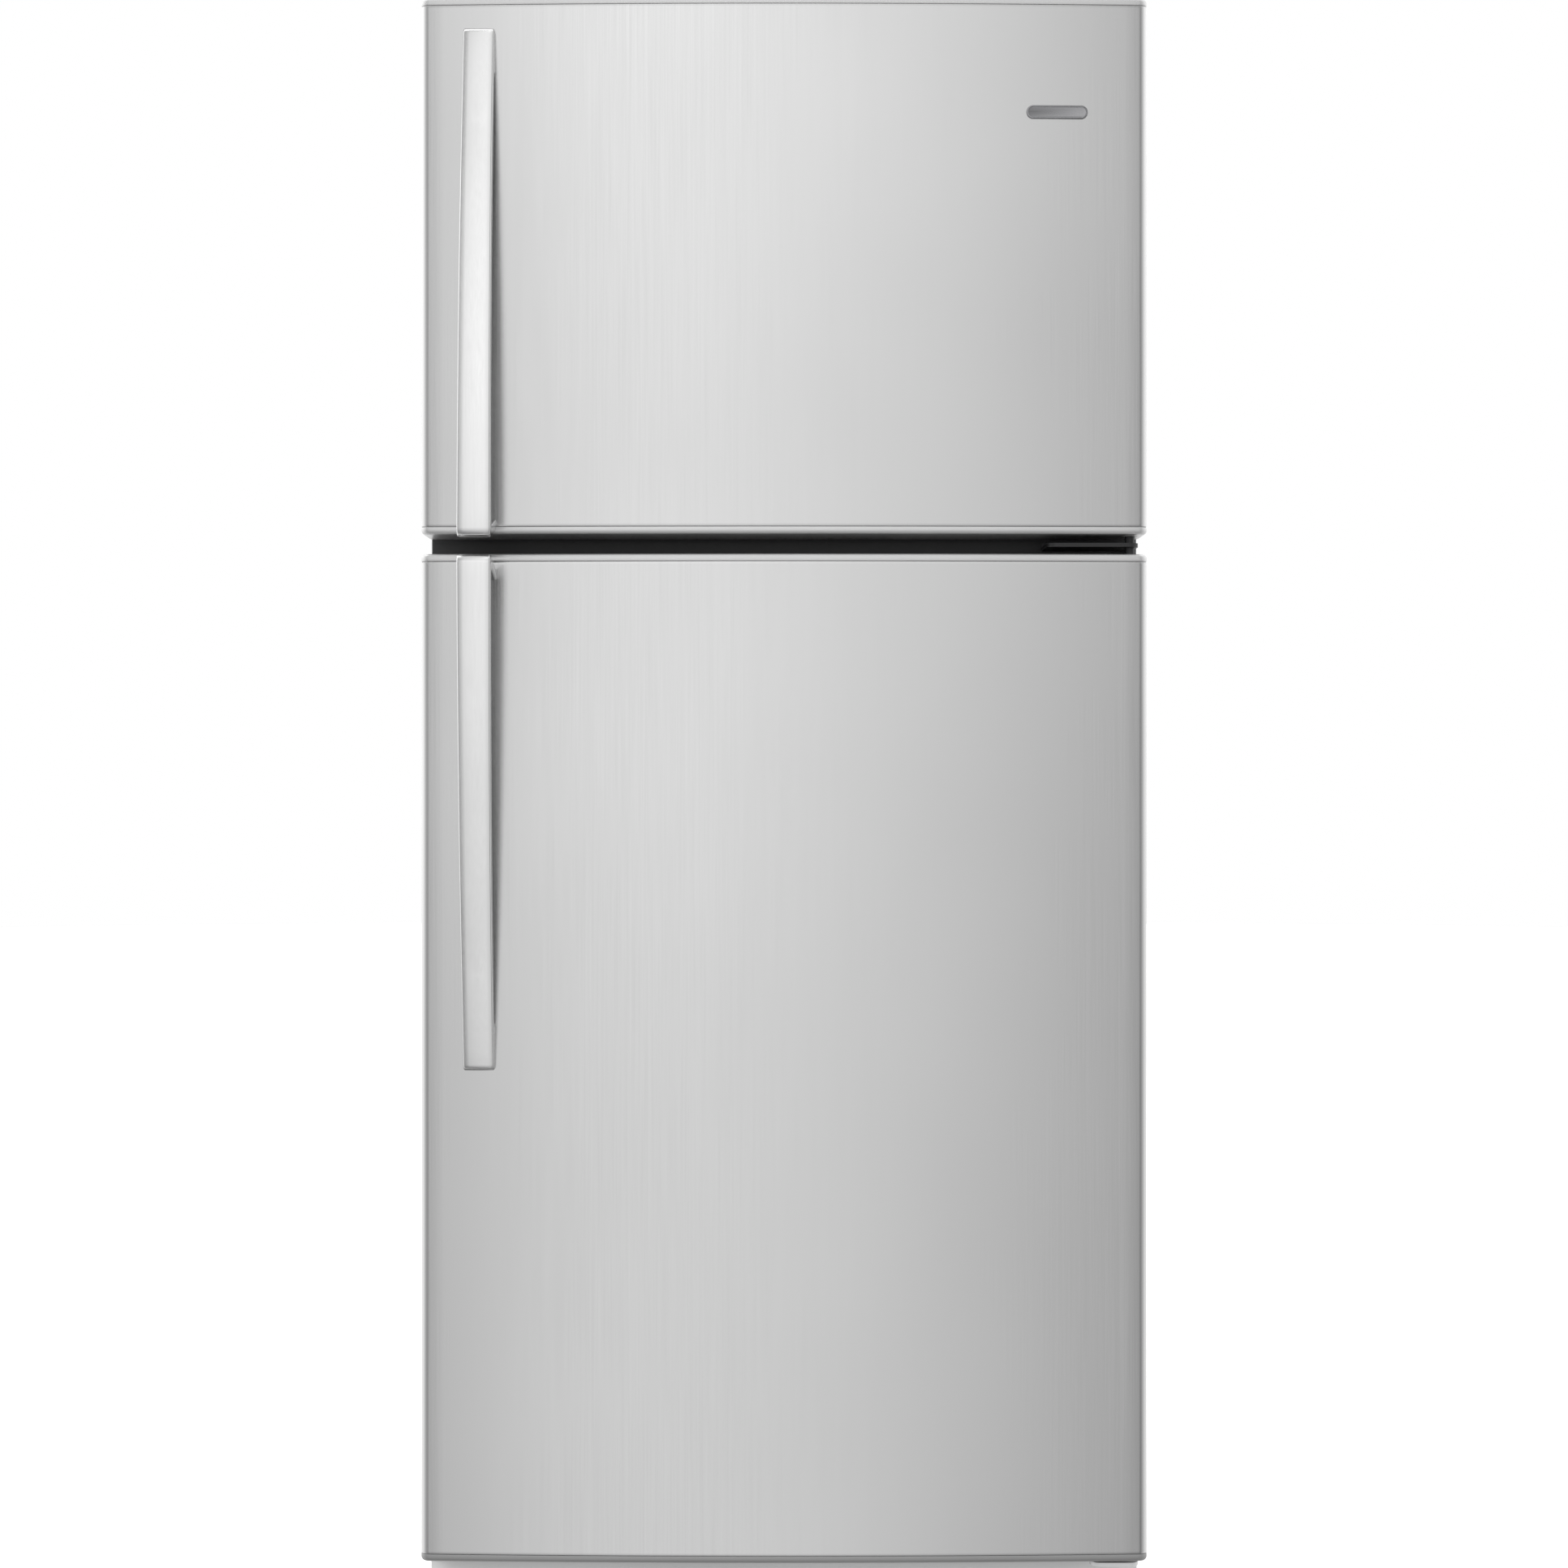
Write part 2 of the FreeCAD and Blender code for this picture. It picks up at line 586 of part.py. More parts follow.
def rear_panel():
    """Steel sheet down the back, folded over the machine compartment and under the floor."""
    rear = box(-FOAM_HALF, FOAM_HALF, FOAM_REAR, Y_REAR, MACHINE_CEILING, CASE_TOP - SHEET)
    over = box(-FOAM_HALF, FOAM_HALF, MACHINE_FRONT, FOAM_REAR, MACHINE_CEILING, MACHINE_CEILING + SHEET)
    down = box(-FOAM_HALF, FOAM_HALF, MACHINE_FRONT - SHEET, MACHINE_FRONT, DECK_Z, MACHINE_CEILING + SHEET)
    under = box(-FOAM_HALF, FOAM_HALF, FOAM_FRONT, MACHINE_FRONT - SHEET, DECK_Z, DECK_Z + SHEET)
    top_corners = box(-CASE_HALF, CASE_HALF, Y_CASE, Y_REAR, 0, CASE_TOP - SHEET)
    upper = [e for e in top_corners.Edges
             if e.BoundBox.YLength > CASE_DEPTH / 2 and e.BoundBox.ZMin > CASE_TOP - 2]
    rounded = top_corners.makeFillet(8.0, upper)
    return rear.common(rounded).fuse([over, down, under]).removeSplitter()


def cabinet_insulation():
    """Foam between the steel and the liners, as plain blocks that meet face to face."""
    fresh = FRESH_HALF + LINER
    freezer = FREEZER_HALF + LINER
    floor_foam = DECK_Z + SHEET
    ceiling_foam = MACHINE_CEILING + SHEET
    riser_front = Y_CASE + STEP_FRONT + LINER
    riser_back = MACHINE_FRONT - SHEET
    step = STEP_TOP - LINER
    top = CASE_TOP - SHEET
    blocks = [
        box(-fresh, fresh, FOAM_FRONT, riser_back, floor_foam, FRESH_FLOOR - LINER),
        box(-fresh, fresh, riser_front, riser_back, FRESH_FLOOR - LINER, ceiling_foam),
        box(-fresh, fresh, riser_front, FOAM_REAR, ceiling_foam, step),
        box(-fresh, fresh, FRESH_Y_BACK + LINER, FOAM_REAR, step, MULLION_LOW),
        box(-FOAM_HALF, FOAM_HALF, FOAM_FRONT + LINER, FOAM_REAR, MULLION_LOW, MULLION_HIGH),
        box(-freezer, freezer, FREEZER_Y_BACK + LINER, FOAM_REAR, MULLION_HIGH, FREEZER_CEILING + LINER),
        box(-FOAM_HALF + 4, FOAM_HALF - 4, FOAM_FRONT, FOAM_REAR, FREEZER_CEILING + LINER, top),
    ]
    for side in (-1, 1):
        low, high = sorted((side * fresh, side * FOAM_HALF))
        blocks.append(box(low, high, FOAM_FRONT, riser_back, floor_foam, ceiling_foam))
        blocks.append(box(low, high, FOAM_FRONT, FOAM_REAR, ceiling_foam, MULLION_LOW))
        low, high = sorted((side * freezer, side * FOAM_HALF))
        blocks.append(box(low, high, FOAM_FRONT, FOAM_REAR, MULLION_HIGH, FREEZER_CEILING + LINER))
    return group(blocks)


def ledge(half, y0, y1, top):
    """Pair of moulded ledges that carry a shelf."""
    ledges = []
    for side in (-1, 1):
        low, high = sorted((side * (half - LEDGE), side * (half + LINER / 2)))
        ledges.append(box(low, high, y0, y1, top - 5.0, top))
    return ledges


SHELF_FRONT = -160.0
SHELF_BACK = 343.0
CRISPER_COVER_BACK = 114.0
FREEZER_SHELF_FRONT = -140.0
FREEZER_SHELF_BACK = 262.0


def freezer_liner():
    """White formed tub of the freezer, with a front flange and shelf ledges."""
    back = FREEZER_Y_BACK
    half = FREEZER_HALF
    outer = box(-half - LINER, half + LINER, Y_CASE, back + LINER,
                FREEZER_FLOOR - LINER, FREEZER_CEILING + LINER)
    flange = box(-FLANGE_X, FLANGE_X, Y_CASE, FOAM_FRONT, MULLION_HIGH, CASE_TOP - FLANGE)
    cavity = box(-half, half, Y_CASE - 1, back, FREEZER_FLOOR, FREEZER_CEILING)
    tub = outer.fuse(flange).cut(cavity)
    ledges = ledge(half, FREEZER_SHELF_FRONT + 10, FREEZER_SHELF_BACK - 5, FREEZER_SHELF_Z - 6.0)
    return tub.fuse(ledges).removeSplitter()


def fresh_food_liner():
    """White formed tub of the fresh-food compartment, stepped over the machine compartment."""
    back = FRESH_Y_BACK
    half = FRESH_HALF
    step_y = Y_CASE + STEP_FRONT
    outer = box(-half - LINER, half + LINER, Y_CASE, back + LINER,
                FRESH_FLOOR - LINER, FRESH_CEILING + LINER)
    under_step = box(-half - LINER - 1, half + LINER + 1, step_y + LINER, back + LINER + 1,
                     FRESH_FLOOR - LINER - 1, STEP_TOP - LINER)
    flange = box(-FLANGE_X, FLANGE_X, Y_CASE, FOAM_FRONT, RAIL_TOP, MULLION_LOW)
    cavity = box(-half, half, Y_CASE - 1, back, FRESH_FLOOR, FRESH_CEILING)
    step = box(-half - 1, half + 1, step_y, back + 1, FRESH_FLOOR - 1, STEP_TOP)
    tub = outer.fuse(flange).cut(cavity.cut(step)).cut(under_step)
    ledges = ledge(half, SHELF_FRONT + 20, CRISPER_COVER_BACK, CRISPER_COVER_Z - SHELF_FRAME)
    for height in SHELF_HEIGHTS:
        ledges += ledge(half, SHELF_FRONT + 20, SHELF_BACK, height - SHELF_FRAME)
    return tub.fuse(ledges).removeSplitter()


def mullion_rail():
    """Dark moulded strip across the front between the two compartments."""
    return box(-FLANGE_X, FLANGE_X, Y_CASE, FOAM_FRONT + LINER, MULLION_LOW, MULLION_HIGH)


def base_frame():
    """Front beam, side channels, base pan, leg plates and rear roller brackets."""
    beam_back = Y_CASE + BEAM_DEEP
    beam = box(-FOAM_HALF, FOAM_HALF, Y_CASE, beam_back, CASE_FOOT + 2, BEAM_HIGH)
    beam = beam.cut(box(-FOAM_HALF + 2, FOAM_HALF - 2, Y_CASE + 2, beam_back - 2,
                        CASE_FOOT, BEAM_HIGH - 2))
    pieces = [beam]
    pan_front = MACHINE_FRONT + 3.0
    pan_back = Y_REAR - 6.0
    pan = open_bin((-FOAM_HALF, FOAM_HALF, pan_front, pan_back, BASE_PAN_Z, BASE_PAN_Z + 14.0),
                   2.0, 5.0, 4.0)
    pieces.append(pan)
    for side in (-1, 1):
        low, high = sorted((side * (FOAM_HALF - CHANNEL_WIDE), side * FOAM_HALF))
        web = box(low, high, beam_back, pan_front, CHANNEL_LOW, CHANNEL_HIGH)
        low, high = sorted((side * (FOAM_HALF - CHANNEL_WIDE - 1), side * (FOAM_HALF - 2)))
        web = web.cut(box(low, high, beam_back - 1, pan_front + 1, CHANNEL_LOW + 2, CHANNEL_HIGH - 2))
        pieces.append(web)
        leg_x = side * LEG_X
        plate_low = CASE_FOOT + 2
        plate_high = plate_low + 6.0
        plate = box(leg_x - LEG_PLATE, leg_x + LEG_PLATE, beam_back, beam_back + LEG_PLATE_DEEP,
                    plate_low, plate_high)
        plate = plate.cut(rod(LEG_STUD + 0.06, Vec(leg_x, LEG_Y, plate_low - 1),
                              Vec(leg_x, LEG_Y, plate_high + 1)))
        pieces.append(plate)
        for cheek in (-1, 1):
            x = side * ROLLER_X + cheek * (ROLLER_WIDTH / 2 + 2.0)
            pieces.append(box(x - 1, x + 1, ROLLER_Y - BRACKET_HALF, ROLLER_Y + BRACKET_HALF,
                              5.0, BASE_PAN_Z))
    return pieces


def base_parts():
    """Base frame with its roller axles, the two rollers and the two legs."""
    pieces = base_frame()
    parts = {}
    for side, word in ((-1, "left"), (1, "right")):
        centre = Vec(side * ROLLER_X, ROLLER_Y, ROLLER_RADIUS)
        reach = Vec(ROLLER_WIDTH / 2 + 3.0, 0, 0)
        axle = rod(AXLE_RADIUS, centre - reach, centre + reach)
        pieces = [piece.cut(axle) if piece.BoundBox.intersect(axle.BoundBox) else piece
                  for piece in pieces]
        pieces.append(axle)
        wide = Vec(ROLLER_WIDTH / 2, 0, 0)
        roller = rod(ROLLER_RADIUS, centre - wide, centre + wide)
        parts["rear_roller_" + word] = roller.cut(rod(AXLE_RADIUS + 0.05, centre - wide, centre + wide))
        foot_top = 8.0
        stud = rod(LEG_STUD, Vec(side * LEG_X, LEG_Y, foot_top), Vec(side * LEG_X, LEG_Y, 46.0))
        foot = Part.makeCone(LEG_FOOT_RADIUS, LEG_FOOT_RADIUS - 3, foot_top, Vec(side * LEG_X, LEG_Y, 0))
        parts["leveling_leg_" + word] = stud.fuse(foot).removeSplitter()
    parts["base_frame"] = group(pieces)
    return parts


def base_grille():
    """Moulded toe grille with two rows of slots, notched around the bottom hinge."""
    y0 = GRILLE_FRONT
    y1 = GRILLE_BACK
    wall = GRILLE_WALL
    plate = box(-GRILLE_HALF, GRILLE_HALF, y0, y0 + wall, GRILLE_FOOT, GRILLE_TOP)
    lip = box(-GRILLE_HALF, GRILLE_HALF, y0, y1, GRILLE_TOP - wall, GRILLE_TOP)
    ends = [box(-GRILLE_HALF, -GRILLE_HALF + wall, y0, y1, GRILLE_FOOT, GRILLE_TOP),
            box(GRILLE_HALF - wall, GRILLE_HALF, y0, y1, GRILLE_FOOT, GRILLE_TOP)]
    grille = plate.fuse([lip] + ends)
    openings = slots(spread(*GRILLE_SLOT_X), y0 - 1, y0 + wall + 1, GRILLE_SLOT_ROWS,
                     GRILLE_SLOT_LENGTH, GRILLE_SLOT_HEIGHT)
    notch = box(GRILLE_NOTCH_X, HALF, y0 + wall, y1 + 1, GRILLE_FOOT - 1, GRILLE_TOP + 1)
    clear = box(GRILLE_NOTCH_X, HALF, y0 - 1, y1 + 1, GRILLE_NOTCH_Z, GRILLE_TOP + 1)
    return grille.cut(openings).cut(notch).cut(clear).removeSplitter()


def screw(place, out, length):
    """Hex washer-head screw: place is under the head, out points away from the work."""
    head = Part.makeCylinder(4.2, 1.0, place, out)
    hexagon = Part.Face(Part.makePolygon(
        [Vec(3.6 * math.cos(math.radians(a)), 3.6 * math.sin(math.radians(a)), 0)
         for a in range(0, 361, 60)]))
    top = turned(hexagon.extrude(Vec(0, 0, 2.5)), out, place)
    shank = Part.makeCylinder(2.0, length, place - out * length, out)
    return head.fuse([top, shank]).removeSplitter()


def with_screws(bracket, screws):
    """Bracket drilled for its screws, and the screws in their holes."""
    return group([bracket.cut(Part.makeCompound(screws))] + screws)


def hinge_pin(z0, z1):
    """Hinge pin on the doors' common axis."""
    return rod(PIN_RADIUS, Vec(PIN_X, PIN_Y, z0), Vec(PIN_X, PIN_Y, z1))


def hinge_arm(left, z0, back):
    """Flat arm over or under a door end, with rounded front corners around the pin."""
    nose = PIN_Y - HINGE_NOSE
    arm = box(left, HINGE_RIGHT, nose, back, z0, z0 + HINGE_ARM)
    corners = [e for e in arm.Edges
               if abs(e.tangentAt(e.FirstParameter).z) > 0.9 and e.BoundBox.YMax < nose + 1]
    return arm.makeFillet(HINGE_NOSE_ROUND, corners)


def top_hinge():
    """Hinge on the cabinet's roof: a seat, a small riser and the arm over the freezer door."""
    riser_back = Y_CASE + 2 * HINGE_PLATE
    level = DOOR_TOP + 2.0
    seat = box(TOP_HINGE_LEFT, HINGE_RIGHT, Y_CASE + HINGE_PLATE, Y_CASE + SEAT_LENGTH,
               CASE_TOP, CASE_TOP + HINGE_PLATE)
    riser = box(TOP_HINGE_LEFT, HINGE_RIGHT, Y_CASE + HINGE_PLATE, riser_back, CASE_TOP, level + HINGE_PLATE)
    arm = hinge_arm(TOP_HINGE_LEFT, level, riser_back)
    bracket = seat.fuse([riser, arm, hinge_pin(DOOR_TOP - PIN_REACH, level)]).removeSplitter()
    middle = (TOP_HINGE_LEFT + HINGE_RIGHT) / 2
    screws = [screw(Vec(middle, Y_CASE + y, CASE_TOP + HINGE_PLATE), Vec(0, 0, 1), HINGE_PLATE)
              for y in (18, 38, 58)]
    return with_screws(bracket, screws)


def centre_hinge():
    """Hinge between the doors: a plate on the cabinet's front and an arm with a pin each way."""
    arm_z = (DOOR_SPLIT_LOW + DOOR_SPLIT_HIGH - HINGE_ARM) / 2
    wing = box(CENTRE_HINGE_LEFT, HINGE_RIGHT, Y_CASE - HINGE_PLATE, Y_CASE,
               DOOR_SPLIT_LOW + 3, DOOR_SPLIT_HIGH - 3)
    arm = hinge_arm(CENTRE_HINGE_LEFT, arm_z, Y_CASE)
    pin = hinge_pin(DOOR_SPLIT_LOW - PIN_REACH, DOOR_SPLIT_HIGH + PIN_REACH)
    bracket = wing.fuse([arm, pin]).removeSplitter()
    screws = [screw(Vec(x, Y_CASE - HINGE_PLATE, arm_z - 4.2), Vec(0, -1, 0), HINGE_PLATE)
              for x in (288, 318)]
    return with_screws(bracket, screws)


def bottom_hinge():
    """Hinge under the fresh-food door: a plate on the front beam and an arm with one pin."""
    arm_top = DOOR_FLOOR_GAP - 3.0
    web = box(BOTTOM_HINGE_LEFT, HINGE_RIGHT, Y_CASE - HINGE_PLATE, Y_CASE, CASE_FOOT + 2, arm_top)
    arm = hinge_arm(BOTTOM_HINGE_LEFT, arm_top - HINGE_ARM, Y_CASE)
    bracket = web.fuse([arm, hinge_pin(arm_top - HINGE_ARM, DOOR_FLOOR_GAP + PIN_REACH)]).removeSplitter()
    screws = [screw(Vec(x, Y_CASE - HINGE_PLATE, 31.0), Vec(0, -1, 0), HINGE_PLATE) for x in (333, 357)]
    return with_screws(bracket, screws)


def top_hinge_cover():
    """Plastic cover over the top hinge, open underneath where it reaches over the door."""
    left, right = HINGE_COVER_X
    front = PIN_Y - HINGE_NOSE - 5.0
    back = Y_CASE + SEAT_LENGTH + 8.0
    wall = HINGE_COVER_WALL
    shell = box(left, right, front, back, CASE_TOP, HEIGHT)
    shell = shell.makeFillet(4.0, [e for e in shell.Edges if e.BoundBox.ZMax > CASE_TOP + 1])
    hollow = box(left + wall, right - wall, front + wall, back - wall, CASE_TOP - 1, HEIGHT - wall)
    over_door = box(left - 1, right + 1, front - 1, Y_CASE + 0.5, CASE_TOP - 1, DOOR_TOP + 1.5)
    return shell.cut(hollow).cut(over_door)


def hinge_parts():
    """The three hinges and the cover of the top one."""
    return {
        "top_hinge": top_hinge(),
        "centre_hinge": centre_hinge(),
        "bottom_hinge": bottom_hinge(),
        "top_hinge_cover": top_hinge_cover(),
    }


# ---------------------------------------------------------------- machine compartment
COVER_RECESS = 2.5
MACHINE_COVER_Y = Y_REAR - COVER_RECESS
COMPRESSOR_X = -215.0
COMPRESSOR_Y = 292.0
COMPRESSOR_RADIUS = 74.0
GROMMET = 14.0
COMPRESSOR_FOOT_Z = BASE_PAN_Z + 2.0 + GROMMET
CONDENSER_FAN = Vec(-62.0, 292.0, 140.0)
CORD_X = -320.0
CORD_Z = 80.0


def machine_cover():
    """Thin board over the back of the machine compartment, with air slots."""
    panel = box(-FOAM_HALF + 1, FOAM_HALF - 1, MACHINE_COVER_Y - 2, MACHINE_COVER_Y,
                BASE_PAN_Z + 16.0, MACHINE_CEILING - 1)
    holes = slots(spread(-220, 300, 9), MACHINE_COVER_Y - 3, MACHINE_COVER_Y + 1,
                  spread(70, 250, 10), 44.0, 7.0)
    gland_hole = rod(11.0, Vec(CORD_X, MACHINE_COVER_Y - 3, CORD_Z), Vec(CORD_X, MACHINE_COVER_Y + 1, CORD_Z))
    return panel.cut(holes).cut(gland_hole)


def cord_gland():
    """Grommet in the rear cover through which the mains lead enters."""
    barrel = rod(11.0, Vec(CORD_X, MACHINE_COVER_Y - 7, CORD_Z), Vec(CORD_X, Y_REAR, CORD_Z))
    collar = rod(14.0, Vec(CORD_X, MACHINE_COVER_Y, CORD_Z), Vec(CORD_X, Y_REAR, CORD_Z))
    inner = rod(14.0, Vec(CORD_X, MACHINE_COVER_Y - 7, CORD_Z), Vec(CORD_X, MACHINE_COVER_Y - 2, CORD_Z))
    bore = rod(4.5, Vec(CORD_X, MACHINE_COVER_Y - 8, CORD_Z), Vec(CORD_X, Y_REAR + 1, CORD_Z))
    return barrel.fuse([collar, inner]).cut(bore).removeSplitter()


def compressor_feet():
    """Places of the four rubber feet under the compressor."""
    return [Vec(COMPRESSOR_X + dx, COMPRESSOR_Y + dy, 0) for dx in (-62, 62) for dy in (-60, 60)]


def compressor():
    """Hermetic compressor: shell with its seam, foot plate and relay box."""
    plate_x = 80.0
    plate_y = 75.0
    shell_low = COMPRESSOR_FOOT_Z + 3
    shell_height = 172.0
    shell_round = 36.0
    seam_rise = 92.0
    relay_half = 26.0
    relay_corner = 5.0
    plate = box(COMPRESSOR_X - plate_x, COMPRESSOR_X + plate_x, COMPRESSOR_Y - plate_y,
                COMPRESSOR_Y + plate_y, COMPRESSOR_FOOT_Z, shell_low)
    shell = Part.makeCylinder(COMPRESSOR_RADIUS, shell_height,
                              Vec(COMPRESSOR_X, COMPRESSOR_Y, shell_low))
    ends = [e for e in shell.Edges if e.Closed and e.BoundBox.ZLength < 0.01]
    shell = shell.makeFillet(shell_round, ends)
    seam = Part.makeCylinder(COMPRESSOR_RADIUS + 3, 5,
                             Vec(COMPRESSOR_X, COMPRESSOR_Y, shell_low + seam_rise))
    relay = soft_box((COMPRESSOR_X + 60, COMPRESSOR_X + 104,
                      COMPRESSOR_Y - relay_half, COMPRESSOR_Y + relay_half,
                      shell_low + 40, shell_low + 88), upright=relay_corner)
    for foot in compressor_feet():
        plate = plate.cut(Part.makeCylinder(5.0, 10, Vec(foot.x, foot.y, COMPRESSOR_FOOT_Z - 2)))
    return shell.fuse([seam, plate, relay]).removeSplitter()


def compressor_grommets():
    """Four rubber feet, each with a neck in the compressor's foot plate."""
    rubbers = []
    base = BASE_PAN_Z + 2.0
    for foot in compressor_feet():
        pad = Part.makeCylinder(11.0, GROMMET, Vec(foot.x, foot.y, base))
        neck = Part.makeCylinder(5.0, 5.0, Vec(foot.x, foot.y, base + GROMMET))
        rubbers.append(pad.fuse(neck).removeSplitter())
    return group(rubbers)


def condenser_coil():
    """Bare tube condenser in two layers, fed from the compressor's discharge stub."""
    tube_radius = 2.6
    pitch = 22.0
    layer_gap = Vec(0, 50, 0)
    run = Vec(310, 0, 0)
    passes = 8
    first = serpentine(Vec(20, 215, 62), run, Vec(0, 0, pitch), passes)
    second = [point + layer_gap for point in reversed(first)]
    return tube(first + second, tube_radius, pitch / 2)


def fan_wheel(radius, hub, width, blades, bore):
    """Axial fan about +Z, from z = 0 to z = width."""
    body = Part.makeCylinder(hub, width)
    for index in range(blades):
        blade = box(hub - 3, radius + 10, -0.32 * radius, 0.32 * radius, -0.9, 0.9)
        blade.rotate(Vec(0, 0, 0), Vec(1, 0, 0), 28)
        blade.translate(Vec(0, 0, width / 2))
        blade.rotate(Vec(0, 0, 0), Vec(0, 0, 1), index * 360.0 / blades)
        body = body.fuse(blade)
    body = body.common(Part.makeCylinder(radius, width))
    return body.cut(Part.makeCylinder(bore, width)).removeSplitter()


def fan_motor(length, radius, shaft, shaft_radius):
    """Motor about +Z: its case ends at z = 0 and its shaft goes on above."""
    case = Part.makeCylinder(radius, length, Vec(0, 0, -length))
    rim = [e for e in case.Edges if e.Closed and e.BoundBox.ZLength < 0.01]
    case = case.makeFillet(3.0, rim)
    return case.fuse(Part.makeCylinder(shaft_radius, shaft + 2, Vec(0, 0, -2))).removeSplitter()


SHAFT = 2.0
FAN_GAP = 3.0
CONDENSER_FAN_WIDTH = 26.0
EVAPORATOR_FAN_WIDTH = 18.0
EVAPORATOR_FAN = Vec(0.0, 322.0, 1500.0)


def condenser_fan_motor():
    """Fan motor on an upright bracket that stands on the base pan."""
    motor = turned(fan_motor(34, 21, FAN_GAP + CONDENSER_FAN_WIDTH, SHAFT), Vec(1, 0, 0), CONDENSER_FAN)
    x = CONDENSER_FAN.x - 34
    post = box(x - 3, x + 2, CONDENSER_FAN.y - 20, CONDENSER_FAN.y + 20, BASE_PAN_Z + 2, CONDENSER_FAN.z + 20)
    foot = box(x - 3, x + 30, CONDENSER_FAN.y - 20, CONDENSER_FAN.y + 20, BASE_PAN_Z + 2, BASE_PAN_Z + 4)
    return motor.fuse([post, foot]).removeSplitter()


def drain_pan():
    """Shallow tray under the condenser that catches and evaporates defrost water."""
    return open_bin((10, 350, MACHINE_FRONT + 10, 395, BASE_PAN_Z + 2, 54), 2.0, 8.0, 4.0)


# ---------------------------------------------------------------- freezer interior
def evaporator_coil():
    """Finned evaporator: aluminium fins on a serpentine tube, with the defrost heater below."""
    fin_y0 = COVER_Y + 14.0
    fin_y1 = FREEZER_Y_BACK - 8.0
    fin_z0 = FREEZER_FLOOR + 50.0
    fin_z1 = fin_z0 + 200.0
    middle = (fin_y0 + fin_y1) / 2
    passes = 6
    pitch = 32.0
    first_z = fin_z0 + 20.0
    tube_radius = 4.0
    fin = box(0, 0.8, fin_y0, fin_y1, fin_z0, fin_z1)
    for index in range(passes):
        z = first_z + pitch * index
        fin = fin.cut(rod(tube_radius + 0.05, Vec(-1, middle, z), Vec(2, middle, z)))
    pieces = []
    for x in spread(-248, 248, 32):
        copy = fin.copy()
        copy.translate(Vec(x - 0.4, 0, 0))
        pieces.append(copy)
    points = serpentine(Vec(-266, middle, first_z), Vec(532, 0, 0), Vec(0, 0, pitch), passes)
    pieces.append(tube(points, tube_radius, pitch / 2))
    heater_z = fin_z0 - 16.0
    pieces.append(rod(5.0, Vec(-255, middle, heater_z), Vec(255, middle, heater_z)))
    return group(pieces)


def evaporator_fan_motor():
    """Fan motor on a small bracket in front of the freezer's rear wall."""
    motor = turned(fan_motor(20, 19, FAN_GAP + EVAPORATOR_FAN_WIDTH, SHAFT), Vec(0, -1, 0), EVAPORATOR_FAN)
    y = EVAPORATOR_FAN.y + 20
    x, z = EVAPORATOR_FAN.x, EVAPORATOR_FAN.z
    bracket = box(x - 62, x + 62, y - 2, y + 2, z - 10, z + 10)
    feet = [box(x + s * 58 - 4, x + s * 58 + 4, y, FREEZER_Y_BACK, z - 10, z + 10) for s in (-1, 1)]
    return motor.fuse([bracket] + feet).removeSplitter()


def evaporator_cover():
    """White panel in front of the evaporator, slotted at the fan and along the bottom."""
    half = FREEZER_HALF - 1.0
    back = COVER_Y + 3.0
    return_rows = (1152.0, 1166.0)
    outlet_rows = spread(1470.0, 1530.0, 6)
    panel = box(-half, half, COVER_Y, back, FREEZER_FLOOR + 1, FREEZER_CEILING - 1)
    air_in = slots(spread(-240.0, 240.0, 7), COVER_Y - 1, back + 1, return_rows, 60.0, 7.0)
    air_out = slots((0.0,), COVER_Y - 1, back + 1, outlet_rows, 90.0, 6.0)
    return panel.cut(air_in + air_out)


def freezer_shelf():
    """Coated wire shelf: a rim, cross bars and many fine wires, welded together."""
    z = FREEZER_SHELF_Z
    half = FREEZER_HALF - 4.0
    y0 = FREEZER_SHELF_FRONT
    y1 = FREEZER_SHELF_BACK
    bar = 3.0
    rails = [rod(bar, Vec(-half, y, z - bar), Vec(half, y, z - bar)) for y in (y0, 60.0, y1)]
    side_x = half - 2 * bar
    sides = [rod(bar - 0.4, Vec(s * side_x, y0, z - bar), Vec(s * side_x, y1, z - bar)) for s in (-1, 1)]
    wire = 1.5
    wire_z = z + 0.6
    wires = [rod(wire, Vec(x, y0 - 2, wire_z), Vec(x, y1 + 2, wire_z)) for x in spread(-290, 290, 25)]
    return rails[0].fuse(rails[1:] + sides + wires).removeSplitter()


# ---------------------------------------------------------------- fresh-food interior
def shelf(top, y0, y1):
    """Glass pane and the moulded frame that carries it."""
    half = FRESH_HALF - 3.0
    rim = 14.0
    lip = 6.0
    bottom = top - SHELF_FRAME
    glass = (rim - half, half - rim, y0 + rim, y1 - rim, top - SHELF_GLASS - 1.0, top - 1.0)
    frame = soft_box((-half, half, y0, y1, bottom, top), upright=4.0)
    frame = frame.cut(box(*glass[:5], top + 1))
    frame = frame.cut(box(glass[0] + lip, glass[1] - lip, glass[2] + lip, glass[3] - lip,
                          bottom - 1, top + 1))
    return box(*glass), frame


SLIDER_X = 162.0
SLIDER_TRAVEL = 15.0
SLIDER_HALF = 12.0


